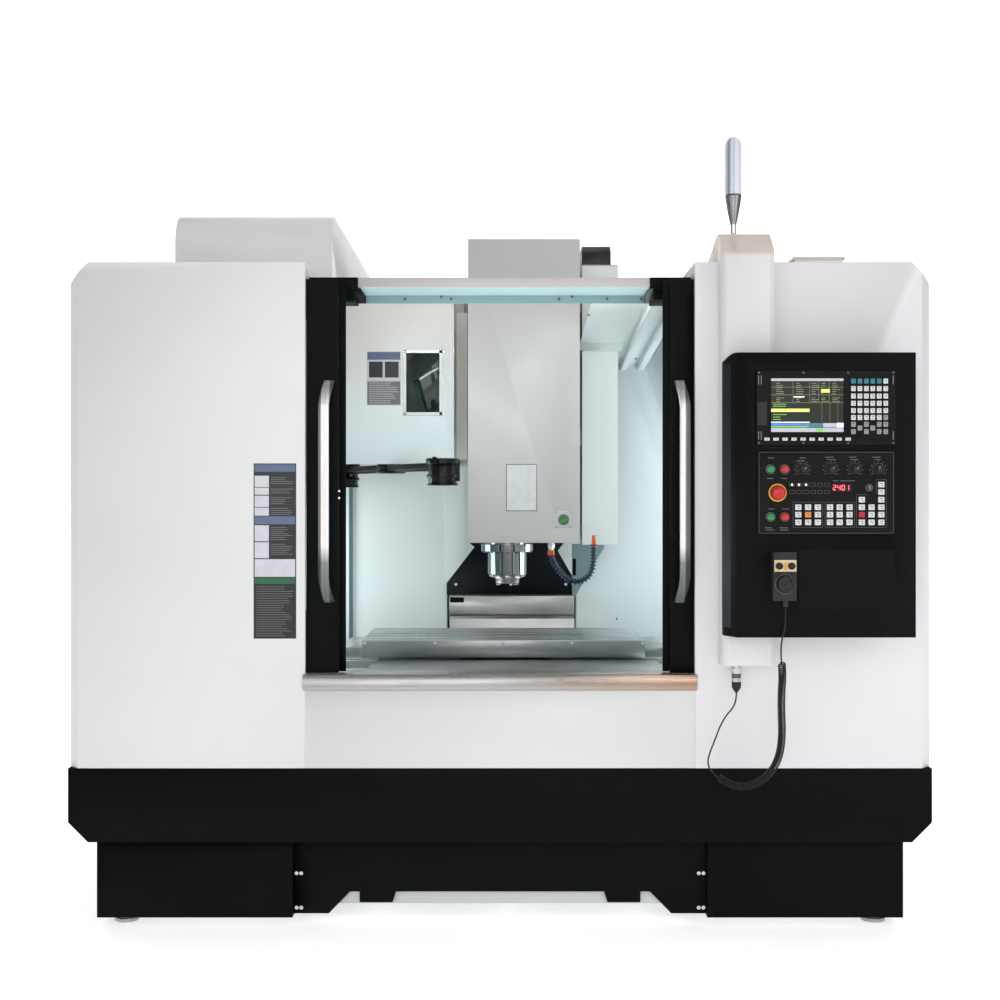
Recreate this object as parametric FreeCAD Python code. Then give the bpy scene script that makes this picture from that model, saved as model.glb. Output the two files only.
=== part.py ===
import FreeCAD, Part
import math
import os

V = FreeCAD.Vector

# A vertical machining centre in its enclosure, with its doors slid open.
# X runs across the front, depths are measured back from the housings' front plane, Z is height.

# Enclosure
machine_width = 2600.0
machine_depth = 2330.0
panel_reach = 280.0
housing_depth = 1560.0
housing_top = 2011.0
housing_bottom = 488.0
skirt_bottom = 265.0
opening_half = 587.0
sheet = 3.0
top_chamfer = 60.0
edge_chamfer = 30.0
skirt_chamfer = 60.0
flange_depth = 25.0
fit_gap = 3.0

# Feet, plinth and front panels
plinth_bottom = 26.0
plinth_half = 1225.0
plinth_inner = 630.0
plinth_depth = 45.0
panel_depth = 70.0
foot_x = 1151.0
foot_radius = 38.0
bed_bottom = 60.0
sill_half = 593.0
sill_top = 770.0
apron_top = 723.0
sill_proud = 4.0
sill_back = 110.0
apron_fold = 60.0

# Work area
wall_half = 1010.0
wall_foot = 600.0
return_depth = 87.0
pocket_edge = 603.0
roof_front_depth = 292.0
roof_front = 1950.0
roof_rear = 1845.0
roof_opening_front = 400.0
panel_face = 1545.0
column_gap_left = -215.0
column_gap_right = 308.0
slant_side = 960.0
notch_top = 1129.0
notch_out = 30.0
left_shoulder = 15.0
left_shoulder_z = 1105.0
right_shoulder = 91.0
right_shoulder_z = 1090.0
apron_plate_top = 1125.0
rear_cover_left = -201.0
rear_cover_right = 294.0
rear_cover_top = 914.0
rear_cover_lip = 74.0
rear_cover_front = 1440.0
slot_half = 115.0
roof_rib = 25.0

# Bed, saddle and table
machine_x = 27.0
table_x = 12.0
spindle_depth = 1031.0
bed_half = 430.0
bed_front = 80.0
bed_top = 560.0
bed_wall = 50.0
bed_skin = 110.0
bed_rib_count = 6
bed_rib_depth = 60.0
outrigger_width = 80.0
outrigger_height = 120.0
outrigger_rear = 1420.0
rail_width = 34.0
rail_height = 30.0
block_length = 90.0
block_width = 74.0
block_height = 38.0
slide_gap = 0.5
y_rail_half = 300.0
y_rail_front = 560.0
y_rail_back = 1560.0
y_block_half = 160.0
saddle_half = 650.0
saddle_width = 400.0
saddle_bottom = 600.0
saddle_top = 690.0
saddle_belly = 430.0
x_rail_half = 120.0
x_block_half = 200.0
table_length = 1000.0
table_width = 500.0
table_top = 801.0
table_bottom = 739.0
slot_count = 5
slot_pitch = 100.0
slot_throat = 18.0
slot_foot = 30.0
slot_lip = 16.0
slot_depth = 29.0
cover_wing = 80.0
cover_step = 31.0
front_plate_left = -440.0
front_plate_right = 560.0
front_plate_top = 735.0
front_plate_back = 621.0
sliding_plate_front = 366.0
sliding_plate_back = 830.0
wing_top = 728.0
wing_foot = 660.0
wing_depth = 435.0
tray_length = 525.0
tray_top = 836.0
screw_radius = 16.0
screw_gap = 0.5
screw_channel = 60.0
motor_size = 100.0

# Column and head
column_half = 370.0
column_front = 1640.0
column_top = 2200.0
column_wall = 70.0
tunnel_top = 905.0
z_rail_half = 190.0
z_rail_bottom = 1120.0
z_block_low = 1300.0
z_block_high = 1640.0
head_half = 105.0
head_front = 905.0
head_bottom = 1150.0
head_top = 1800.0
neck_bottom = 1200.0
neck_top = 1700.0
head_plate_half = 235.0
head_plate_bottom = 1240.0
head_plate_top = 1700.0
head_plate_depth = 1570.0
head_plate = 30.0
head_bore = 72.0
cover_left = -115.0
cover_right = 287.0
cover_front = 870.0
cover_back = 1400.0
cover_bottom = 1141.0
cover_top = 2232.0
duct_left = 307.0
duct_right = 442.0
duct_front = 1100.0
duct_back = 1420.0
duct_bottom = 1127.0
duct_top = 2175.0
terminal_depth = 1250.0
terminal_height = 99.0

# Spindle
sleeve_radius = 71.7
sleeve_bottom = 1018.0
flange_radius = 96.0
flange_bottom = 1106.0
flange_top = 1133.0
cartridge_top = 1500.0
spindle_nose = 988.0
spindle_radius = 44.0
spindle_top = 1560.0
nose_radius = 50.0
taper_mouth = 22.2
taper_ratio = 7.0 / 48.0
taper_depth = 68.0
bearing_gap = 0.05
motor_half = 95.0
motor_top = 2120.0

# Coolant hose
hose_depth = 950.0
hose_x = 186.0
hose_links = 20
hose_radius = 11.5
hose_waist = 8.5
hose_bore = 5.0
hose_top = 1100.0
nozzle_length = 36.0
nozzle_tip = 5.5
nipple_radius = 11.0
ring_radius = 14.0
ring_height = 11.0

# Doors
door_front = 30.0
door_thickness = 40.0
door_bottom = 772.0
door_top = 1964.0
door_meet = 13.0
stile_edge = 502.0
stile_lip = 19.0
lip_thickness = 4.0
leaf_width = 640.0
stile_width = 98.0
top_rail = 120.0
bottom_rail = 190.0
pane_thickness = 6.0
hanger_length = 50.0
hanger_height = 22.0
hanger_thickness = 12.0
handle_bottom = 984.0
handle_top = 1657.0
handle_width = 32.0
handle_bar = 10.0
handle_inset = 26.0
handle_bow = 15.0
handle_reach = 45.0
handle_bend = 90.0
handle_steps = 6

# Header
header_depth = 100.0
header_top = 1979.0
header_bottom = 1950.0
header_lip = 1924.0
header_left = -437.0
header_right = 461.0
bracket_front = 95.0
bracket_back = 285.0
bracket_foot = 1945.0
bracket_step = 30.0

# Tool magazine and changer
hump_left = -1097.0
hump_right = -567.0
hump_front = 550.0
hump_back = 2030.0
hump_bottom = 1455.0
hump_top = 2267.0
hump_round = 100.0
guard_front = 960.0
guard_left = -566.0
guard_right = -168.0
guard_bottom = 1426.0
guard_top = 2030.0
window_left = -342.0
window_right = -214.0
window_bottom = 1612.0
window_top = 1834.0
window_frame = 8.0
window_proud = 4.0
changer_x = -404.0
changer_reach = 423.0
changer_turn = 61.0
arm_top = 1440.0
arm_bottom = 1393.0
arm_hub = 55.0
arm_beam_top = 1424.0
arm_beam_half = 34.0
arm_tip_half = 25.0
grip_radius = 55.0
grip_bore = 33.0
grip_bottom = 1345.0
grip_top = 1438.0
grip_mouth = 44.0
quill_radius = 40.0
quill_top = 1700.0
arm_shaft = 20.0
arm_shaft_top = 1510.0
drive_left = -560.0
drive_right = -250.0
drive_front = 985.0
drive_back = 1300.0
drive_top = 1885.0
drive_arm_low = 1500.0
drive_arm_high = 1800.0
drive_arm_left = -480.0
drive_arm_right = -300.0
disc_x = -762.0
disc_height = 1830.0
disc_radius = 355.0
disc_plate = 16.0
pot_count = 24
pot_ring = 330.0
pot_radius = 38.0
pot_length = 108.0
pot_bore = 23.0
disc_shaft = 30.0
disc_hub = 60.0

# Electrical cabinet
cabinet_half = 600.0
cabinet_depth = 156.0
cabinet_bottom = 620.0
cabinet_top = 1980.0
cabinet_door_plate = 12.0
cabinet_handle = 12.0
hinge_offset = 8.0
knuckle_radius = 7.0
knuckle_pin = 4.0
knuckle_length = 40.0

# Control panel
duct_x_left = 656.0
duct_x_right = 812.0
pendant_front = -95.0
pendant_shoulder = 2022.0
pendant_ridge = 2095.0
pendant_ridge_depth = 0.0
pendant_roof_depth = 340.0
pendant_foot = 804.0
pendant_chamfer = 16.0
box_left = 653.0
box_bevel_left = 685.0
box_right = 1197.0
box_front = -195.0
box_bevel_depth = 65.0
box_bottom = 899.0
box_top = 1720.0
display_left = 737.0
display_right = 1137.0
display_bottom = 1453.0
display_top = 1666.0
display_border = 20.0
display_body = 60.0
display_plate = 6.0
switch_left = 741.0
switch_right = 1135.0
switch_bottom = 1196.0
switch_top = 1436.0
switch_border = 14.0
switch_body = 40.0
switch_plate = 4.0
button_radius = 11.0
button_cap = 7.0
button_travel = 4.0
button_ring = 14.0
button_stem = 6.0
stem_length = 24.0
stop_radius = 21.0
stop_cap = 18.0
stop_travel = 6.0
stop_ring = 25.0
knob_radius = 14.0
knob_height = 17.0
knob_shaft = 4.0
knob_row = 1383.0
start_row = 1246.0
stop_row = 1316.0
left_column = 777.0
right_column = 818.0
release_x = 228.0
release_z = 1225.0
release_plate = 60.0

# Handwheel unit and its cord
wheel_left = 777.0
wheel_right = 847.0
wheel_bottom = 1007.0
wheel_top = 1147.0
wheel_face = 45.0
dial_x = 812.0
dial_z = 1055.5
dial_radius = 26.0
dial_height = 21.0
selector_radius = 9.7
selector_height = 12.0
selector_z = 1107.0
gland_radius = 8.0
gland_length = 17.0
cord_radius = 2.3
coil_radius = 12.0
coil_turns = 78
plug_x = 703.0
plug_depth = -50.0
plug_radius = 13.0
plug_length = 81.0

# Signal lamp
lamp_x = 705.0
lamp_radius = 25.0
lamp_stem = 8.5
lamp_cone_bottom = 2129.0
lamp_lens_bottom = 2216.0
lamp_top = 2392.0
lamp_depth = 20.0
lamp_round = 18.0

# Derived places
front_y = (panel_reach - machine_depth) / 2
half_width = machine_width / 2
bed_back = machine_depth - cabinet_handle - cabinet_door_plate - cabinet_depth
rail_top = bed_top + rail_height
table_front = spindle_depth - table_width / 2
table_back = spindle_depth + table_width / 2
saddle_front = spindle_depth - saddle_width / 2
saddle_back = spindle_depth + saddle_width / 2
hump_clear = (hump_left - fit_gap, hump_right + fit_gap)
quill_bottom = arm_top + 1
switch_face = box_front - switch_plate
roof_slope = (roof_front - roof_rear) / (housing_depth - roof_front_depth)


def at(x, depth, z):
    """The point at a place across, a depth behind the front plane and a height."""
    return V(x, front_y + depth, z)


def around(centre, half):
    """The pair of limits that lie evenly about a centre."""
    return (centre - half, centre + half)


def block(x, depth, z):
    """A straight-sided solid between pairs of limits across, in depth and in height."""
    return Part.makeBox(x[1] - x[0], depth[1] - depth[0], z[1] - z[0], at(x[0], depth[0], z[0]))


def face_of(points):
    """A flat face with straight edges."""
    return Part.Face(Part.makePolygon(points + points[:1]))


def front_prism(outline, depth):
    """An outline of (x, z) corners seen from the front, carried back between two depths."""
    face = face_of([at(x, depth[0], z) for x, z in outline])
    return face.extrude(V(0, depth[1] - depth[0], 0))


def side_prism(outline, x):
    """An outline of (depth, z) corners seen from the side, carried across."""
    face = face_of([at(x[0], depth, z) for depth, z in outline])
    return face.extrude(V(x[1] - x[0], 0, 0))


def plan_prism(outline, z):
    """An outline of (x, depth) corners seen from above, carried up."""
    face = face_of([at(x, depth, z[0]) for x, depth in outline])
    return face.extrude(V(0, 0, z[1] - z[0]))


def upright(x, depth, z, radius):
    """A vertical round bar between two heights."""
    return Part.makeCylinder(radius, z[1] - z[0], at(x, depth, z[0]), V(0, 0, 1))


def crosswise(x, depth, z, radius):
    """A round bar along X between two places across."""
    return Part.makeCylinder(radius, x[1] - x[0], at(x[0], depth, z), V(1, 0, 0))


def fore_aft(x, depth, z, radius):
    """A round bar along the depth between two depths."""
    return Part.makeCylinder(radius, depth[1] - depth[0], at(x, depth[0], z), V(0, 1, 0))


def turned(profile, x, depth):
    """A turned piece on a vertical axis, from its (radius, z) profile."""
    face = face_of([at(x + radius, depth, z) for radius, z in profile])
    return face.revolve(at(x, depth, 0), V(0, 0, 1), 360)


def fuse(first, *others):
    """One solid of pieces that are cast, welded or folded as one."""
    return first.fuse(others).removeSplitter()


def group(*solids):
    """Separate solids that are kept together as one piece."""
    return Part.makeCompound(list(solids))


def flipped(shape, x):
    """The mirror image of a shape across a plane that faces sideways."""
    return shape.mirror(V(x, 0, 0), V(1, 0, 0))


def guide_block(rail, x, depth, z):
    """A carriage that wraps a rail with a small running gap."""
    box = rail.BoundBox
    low = V(box.XMin - slide_gap, box.YMin - slide_gap, box.ZMin - slide_gap)
    groove = Part.makeBox(box.XLength + 2 * slide_gap, box.YLength + 2 * slide_gap,
                          box.ZLength + 2 * slide_gap, low)
    return block(x, depth, z).cut(groove)


def roof_height(depth):
    """The top of the sloping roof sheet at a depth."""
    return roof_front - (depth - roof_front_depth) * roof_slope


def levelling_foot(x, depth):
    """A screw foot: a pad, a collar and a stem up to the bed."""
    pad_height = 12.0
    collar_height = 22.0
    collar_radius = 30.0
    stem_radius = 14.0
    profile = [(0, 0), (foot_radius - 2, 0), (foot_radius, 2), (foot_radius, pad_height),
               (collar_radius, pad_height), (collar_radius, collar_height),
               (stem_radius, collar_height), (stem_radius, bed_bottom), (0, bed_bottom)]
    return turned(profile, x, depth)


def levelling_feet():
    front = bed_front + outrigger_width / 2
    rear = outrigger_rear + outrigger_width / 2
    tail = bed_back - bed_wall / 2
    tail_half = bed_half - bed_wall / 2
    places = [(-foot_x, front), (foot_x, front), (-foot_x, rear), (foot_x, rear)]
    places += [(machine_x - tail_half, tail), (machine_x + tail_half, tail)]
    return group(*[levelling_foot(x, depth) for x, depth in places])


def y_rail(side):
    return block(around(machine_x + side * y_rail_half, rail_width / 2),
                 (y_rail_front, y_rail_back), (bed_top, rail_top))


def feed_screw_y():
    """The Y ball screw with its bearing blocks and motor, in the bed's channel."""
    height = bed_top - screw_channel / 2
    end = column_front + screw_channel
    screw = fore_aft(machine_x, (y_rail_front - screw_channel, end), height, screw_radius)
    seat = around(machine_x, motor_size / 2)
    front_block = block(seat, (y_rail_front - 2 * screw_channel, y_rail_front - screw_channel),
                        (bed_top - screw_channel, bed_top))
    rear_block = block(seat, (column_front, end), (bed_top - screw_channel, bed_top))
    motor = block(seat, (end, end + 2 * motor_size),
                  (bed_top - screw_channel, bed_top - screw_channel + motor_size))
    return fuse(screw, front_block, rear_block, motor)


def machine_bed():
    """The cast bed, hollow from below, with its outriggers, rails and Y screw."""
    body = block(around(machine_x, bed_half), (bed_front, bed_back), (bed_bottom, bed_top))
    roof = bed_top - bed_skin
    bay_depth = (bed_front + bed_wall, bed_back - bed_wall)
    rib_pitch = (bay_depth[1] - bay_depth[0]) / (bed_rib_count + 1)
    bays = []
    for side in (-1, 1):
        bay_x = sorted((machine_x + side * bed_wall / 2, machine_x + side * (bed_half - bed_wall)))
        bay = block(bay_x, bay_depth, (bed_bottom, roof))
        ribs = [block(bay_x, around(bay_depth[0] + rib_pitch * (i + 1), bed_wall / 2),
                      (roof - bed_rib_depth, roof)) for i in range(bed_rib_count)]
        bays.append(bay.cut(ribs))
    channel = block(around(machine_x, screw_channel),
                    (y_rail_front - 2 * screw_channel, bed_back),
                    (bed_top - screw_channel, bed_top))
    body = body.cut(bays + [channel])
    beams = []
    for near in (bed_front, outrigger_rear):
        for x in ((-foot_x - foot_radius, machine_x - bed_half),
                  (machine_x + bed_half, foot_x + foot_radius)):
            beams.append(block(x, (near, near + outrigger_width),
                               (bed_bottom, bed_bottom + outrigger_height)))
    casting = fuse(body, y_rail(-1), y_rail(1), *beams)
    return group(casting, feed_screw_y())


def plinth():
    """Black sheet boxes round the outriggers and a recessed panel between them."""
    boxes = []
    hole_z = (bed_bottom - fit_gap, bed_bottom + outrigger_height + fit_gap)
    for side in (-1, 1):
        x = sorted((side * plinth_inner, side * plinth_half))
        outer = block(x, (plinth_depth, housing_depth - plinth_depth),
                      (plinth_bottom, skirt_bottom))
        inner = block((x[0] + sheet, x[1] - sheet),
                      (plinth_depth + sheet, housing_depth - plinth_depth - sheet),
                      (plinth_bottom - 1, skirt_bottom + 1))
        holes = []
        for near in (bed_front, outrigger_rear):
            holes.append(block(around(side * plinth_inner, 4 * sheet),
                               (near - fit_gap, near + outrigger_width + fit_gap), hole_z))
        boxes.append(outer.cut([inner] + holes))
    foot_line = plinth_bottom + 6
    raised = 99.0
    tab_foot = 66.0
    half_outline = [(plinth_inner, foot_line), (523.0, foot_line), (458.0, raised),
                    (429.0, raised), (429.0, tab_foot), (328.0, tab_foot), (318.0, raised)]
    outline = [(-x, z) for x, z in half_outline] + half_outline[::-1]
    outline += [(plinth_inner, skirt_bottom), (-plinth_inner, skirt_bottom)]
    panel = front_prism(outline, (panel_depth, panel_depth + sheet))
    return group(boxes[0], boxes[1], panel)


def skirt_outline(inset):
    wide = half_width - inset
    low = skirt_bottom
    cut = skirt_chamfer
    return [(-wide, low + cut), (-wide + cut, low), (wide - cut, low), (wide, low + cut),
            (wide, housing_bottom), (-wide, housing_bottom)]


def base_skirt():
    """The black belt round the machine, open above and below."""
    outer = front_prism(skirt_outline(0), (0, housing_depth))
    inner = front_prism(skirt_outline(sheet), (sheet, housing_depth - sheet))
    pit = block(around(0, half_width - skirt_chamfer - sheet), (sheet, housing_depth - sheet),
                (skirt_bottom - 1, housing_bottom + 1))
    channel = block(around(machine_x, bed_half + fit_gap), (housing_depth - 2 * sheet,
                    housing_depth + 1), (skirt_bottom - 1, housing_bottom + 1))
    return outer.cut([inner, pit, channel])


def housing_outline(inset):
    """The left housing from the front, with its chamfered upper corner."""
    left = -half_width + inset
    top = housing_top - inset
    return [(left, housing_bottom), (-opening_half, housing_bottom), (-opening_half, top),
            (left + top_chamfer, top), (left, top - top_chamfer)]


def housing_shell():
    """One side housing: front, outer side and top, folded in from the door opening."""
    outer = front_prism(housing_outline(0), (0, housing_depth))
    corner = [(-half_width, 0), (-half_width + edge_chamfer, 0), (-half_width, edge_chamfer)]
    outer = outer.cut(plan_prism(corner, (housing_bottom, housing_top)))
    inner = front_prism([(x, z - 1 if z == housing_bottom else z)
                         for x, z in housing_outline(sheet)], (sheet, housing_depth - sheet))
    corner = [(-half_width, sheet), (-half_width + edge_chamfer + sheet, sheet),
              (-half_width, edge_chamfer + sheet)]
    shell = outer.cut(inner.cut(plan_prism(corner, (housing_bottom - 1, housing_top))))
    flange = block((-opening_half - sheet, -opening_half), (0, flange_depth),
                   (housing_bottom, housing_top))
    top_line = [(0, housing_top), (housing_depth - sheet, housing_top),
                (housing_depth - sheet, roof_rear), (roof_front_depth, roof_front),
                (return_depth, roof_front), (return_depth, door_top + fit_gap),
                (0, door_top + fit_gap)]
    top_side = side_prism(top_line, (-opening_half - sheet, -opening_half))
    open_back = block((-wall_half, -opening_half), (housing_depth - 2 * sheet,
                      housing_depth + 1), (housing_bottom - 1, housing_top - sheet))
    return fuse(shell.cut(open_back), flange, top_side)


def top_guide():
    """The inverted channel under the housing's top that guides the door's hanger."""
    middle = door_front + door_thickness / 2
    half = hanger_thickness / 2 + 1
    x = (-half_width + 2 * top_chamfer, -opening_half - sheet)
    z = (door_top + 2, door_top + hanger_height + fit_gap)
    web = block(x, around(middle, half + sheet), (z[1], housing_top - sheet))
    near = block(x, (middle - half - sheet, middle - half), (z[0], z[1]))
    far = block(x, (middle + half, middle + half + sheet), (z[0], z[1]))
    return fuse(web, near, far)


def magazine_opening():
    """The clear space that the walls leave for the magazine's cover."""
    return block(hump_clear, (hump_front - fit_gap, hump_back), (hump_bottom - fit_gap, hump_top))


def left_housing():
    return fuse(housing_shell(), top_guide()).cut(magazine_opening())


def junction_box():
    """A small terminal box with a lid on the right housing's roof."""
    body = block((905.0, 1052.0), (90.0, 190.0), (housing_top, housing_top + 22))
    lid = block((900.0, 1057.0), (85.0, 195.0), (housing_top + 22, housing_top + 29))
    return fuse(body, lid)


def right_housing():
    return group(flipped(fuse(housing_shell(), top_guide()), 0), junction_box())


def front_apron():
    """The white panel under the door opening, folded back along its edges."""
    x = (-opening_half, opening_half)
    plate = block(x, (0, sheet), (housing_bottom, apron_top))
    top = block(x, (0, apron_fold), (apron_top - sheet, apron_top))
    foot = block(x, (0, apron_fold), (housing_bottom, housing_bottom + sheet))
    return fuse(plate, top, foot)


def door_sill():
    """The stainless channel that the doors run over, with its track into each housing."""
    front = block(around(0, sill_half), (-sill_proud, -sill_proud + sheet),
                  (apron_top, sill_top))
    neck = block(around(0, opening_half - sheet), (-sill_proud, sheet),
                 (sill_top - sheet, sill_top))
    top = block(around(0, opening_half - sheet), (0, sill_back), (sill_top - sheet, sill_top))
    back = block(around(0, opening_half - sheet), (sill_back - sheet, sill_back),
                 (apron_top, sill_top))
    middle = door_front + door_thickness / 2
    track = block(around(0, half_width - 2 * top_chamfer), around(middle, 8),
                  (sill_top - 20, sill_top))
    return fuse(front, neck, top, back, track)


def header_beam():
    """The folded beam over the doors: a front lip, a flat underside and a rear lip."""
    x = (header_left, header_right)
    lip = block(x, (header_depth, header_depth + sheet), (header_bottom, header_top))
    web = block(x, (header_depth, roof_front_depth), (header_bottom, header_bottom + sheet))
    rear = block(x, (roof_front_depth - sheet, roof_front_depth), (header_lip, roof_front + sheet))
    return fuse(lip, web, rear)


def rail_bracket(inner_edge):
    """The stepped black bracket between the left housing and the header."""
    outer = -opening_half
    body = block((outer, inner_edge), (bracket_front, bracket_back), (bracket_foot, header_top))
    step = block((outer, inner_edge - bracket_step / 2),
                 (bracket_front + bracket_step, bracket_back),
                 (bracket_foot - bracket_step, bracket_foot))
    return fuse(body, step)


def rail_brackets():
    left = rail_bracket(header_left)
    right = flipped(rail_bracket(-header_right), 0)
    return group(left, right)


def splash_walls():
    """The side walls, the rear wall and the returns beside the door pockets."""
    z = (wall_foot, housing_top - sheet)
    walls = []
    for side in (-1, 1):
        x = sorted((side * wall_half, side * (wall_half - sheet)))
        walls.append(block(x, (return_depth, housing_depth), z))
        x = sorted((side * wall_half, side * pocket_edge))
        walls.append(block(x, (return_depth, return_depth + sheet), (wall_foot, roof_front)))
    rear = block(around(0, wall_half), (housing_depth - sheet, housing_depth), z)
    gap = block((column_gap_left, column_gap_right), (housing_depth - 2 * sheet,
                housing_depth + 1), (wall_foot - 1, housing_top))
    above = block(around(0, opening_half), (housing_depth - 2 * sheet, housing_depth + 1),
                  (roof_rear, housing_top))
    arm_hole = block((drive_arm_left - fit_gap, drive_arm_right + fit_gap),
                     (housing_depth - 2 * sheet, housing_depth + 1),
                     (drive_arm_low - fit_gap, drive_arm_high + fit_gap))
    walls.append(rear.cut([gap, above, arm_hole]))
    return walls


def column_panels():
    """The light panels each side of the head's slot, slanted off at the bottom."""
    top = roof_height(panel_face) - sheet
    left_slot = machine_x - slot_half
    right_slot = machine_x + slot_half
    depth = (panel_face, panel_face + sheet)
    left = front_prism([(column_gap_left, slant_side), (left_slot - left_shoulder, left_shoulder_z),
                        (left_slot - left_shoulder - notch_out, notch_top), (left_slot, notch_top),
                        (left_slot, top), (column_gap_left, top)], depth)
    right = front_prism([(column_gap_right, slant_side), (column_gap_right, top),
                         (right_slot, top), (right_slot, notch_top),
                         (right_slot + right_shoulder + notch_out, notch_top),
                         (right_slot + right_shoulder, right_shoulder_z)], depth)
    edge_left = block((column_gap_left - sheet, column_gap_left),
                      (panel_face, housing_depth), (slant_side, top))
    edge_right = block((column_gap_right, column_gap_right + sheet),
                       (panel_face, housing_depth), (slant_side, top))
    return [left, right, edge_left, edge_right]


def splash_roof():
    """The sloping roof sheet with its stiffening ribs and the openings behind the header."""
    x = around(0, opening_half - sheet)
    outline = [(roof_front_depth, roof_front), (housing_depth, roof_rear),
               (housing_depth, roof_rear - sheet), (roof_front_depth, roof_front - sheet)]
    roof = side_prism(outline, x)
    rib_outline = [(roof_front_depth + 40, roof_height(roof_front_depth + 40) - sheet),
                   (housing_depth, roof_rear - sheet), (housing_depth, roof_rear - roof_rib),
                   (roof_front_depth + 40, roof_height(roof_front_depth + 40) - roof_rib)]
    ribs = [side_prism(rib_outline, around(place, roof_rib / 2)) for place in (500.0, 570.0)]
    middle = block((-opening_half, cover_right + 4 * fit_gap),
                   (roof_opening_front, housing_depth + 1), (wall_foot, housing_top))
    duct = block((cover_right, duct_right + 4 * fit_gap), (duct_front - 2 * fit_gap,
                 housing_depth + 1), (wall_foot, housing_top))
    flange_depths = (duct_front - 3 * fit_gap, duct_front - 2 * fit_gap)
    flange_top = roof_height(duct_front)
    flange = block((cover_right + 4 * fit_gap, duct_right + 4 * fit_gap), flange_depths,
                   (flange_top - 30, flange_top))
    return fuse(roof.cut([middle, duct]), *ribs, flange)


def chip_trays():
    """The sloping floors from the side walls down to the bed."""
    trays = []
    for side in (-1, 1):
        edge = machine_x + side * bed_half
        wall = side * wall_half
        outline = [(edge, bed_top), (wall, wall_foot), (wall, wall_foot + sheet),
                   (edge, bed_top + sheet)]
        trays.append(front_prism(outline, (return_depth, housing_depth)))
    front = block(around(machine_x, bed_half), (sill_back, sill_back + sheet),
                  (bed_top, front_plate_top - sheet))
    for side in (-1, 1):
        edge = machine_x + side * bed_half
        wall = side * wall_half
        outline = [(edge, bed_top), (wall, wall_foot), (wall, sill_top - 2 * sheet),
                   (edge, sill_top - 2 * sheet)]
        trays.append(front_prism(outline, (sill_back, sill_back + sheet)))
    return trays + [front]


def splash_guard():
    """The white sheet-metal lining of the work area."""
    pieces = splash_walls() + column_panels() + [splash_roof()] + chip_trays()
    return fuse(*pieces).cut(magazine_opening())


def column_apron():
    """The black plate behind the spindle, with a bay for the head's neck."""
    return block((column_gap_left, column_gap_right),
                 (panel_face + sheet, panel_face + 2 * sheet), (rear_cover_top, apron_plate_top))


def fixed_way_covers():
    """The flat stainless plate in front of the table and the rear cover's fixed section."""
    plate = block((front_plate_left, front_plate_right), (sill_back + sheet, front_plate_back),
                  (front_plate_top - sheet, front_plate_top))
    side_left = block((front_plate_left, front_plate_left + sheet),
                      (sill_back + sheet, y_rail_front - screw_channel),
                      (wall_foot + 40, front_plate_top))
    side_right = block((front_plate_right - sheet, front_plate_right),
                       (sill_back + sheet, y_rail_front - screw_channel),
                       (wall_foot + 40, front_plate_top))
    x = (rear_cover_left, rear_cover_right)
    depth = (rear_cover_front, panel_face + 2 * sheet)
    lip_bottom = rear_cover_top - rear_cover_lip
    top = block(x, depth, (rear_cover_top - sheet, rear_cover_top))
    cheeks = [block((edge, edge + sheet), depth, (table_top + fit_gap, rear_cover_top))
              for edge in (rear_cover_left, rear_cover_right - sheet)]
    lip = block(x, (rear_cover_front, rear_cover_front + sheet), (lip_bottom, rear_cover_top))
    return group(fuse(plate, side_left, side_right), fuse(top, lip, *cheeks))


def column():
    """The cast column with its Z rails, and the Z screw and motor on it."""
    body = block(around(machine_x, column_half), (column_front, bed_back), (bed_top, column_top))
    tunnel = block((column_gap_left, column_gap_right), (column_front - 1, bed_back + 1),
                   (bed_top - 1, tunnel_top))
    cavity = block(around(machine_x, column_half - column_wall),
                   (column_front + column_wall, bed_back + 1),
                   (tunnel_top + column_wall, column_top - column_wall))
    casting = fuse(body.cut([tunnel, cavity]), z_rail(-1), z_rail(1))
    screw_depth = column_front - screw_radius - 2
    screw = upright(machine_x, screw_depth, (z_rail_bottom, column_top), screw_radius)
    seat_x = around(machine_x, motor_size / 3)
    foot = block(seat_x, (column_front - rail_height - 8, column_front),
                 (z_rail_bottom - 40, z_rail_bottom))
    top = block(seat_x, (column_front - rail_height - 8, column_front),
                (column_top - 40, column_top))
    motor = block(around(machine_x, motor_size / 2 + 10),
                  around(screw_depth, motor_size / 2 + 10), (column_top, column_top + 130))
    return group(casting, fuse(screw, foot, top, motor))


def z_rail(side):
    return block(around(machine_x + side * z_rail_half, rail_width / 2),
                 (column_front - rail_height, column_front),
                 (z_rail_bottom, column_top - 5))


def x_rail(side):
    return block(around(machine_x, saddle_half),
                 around(spindle_depth + side * x_rail_half, rail_width / 2),
                 (saddle_top, saddle_top + rail_height - 4))


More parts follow.
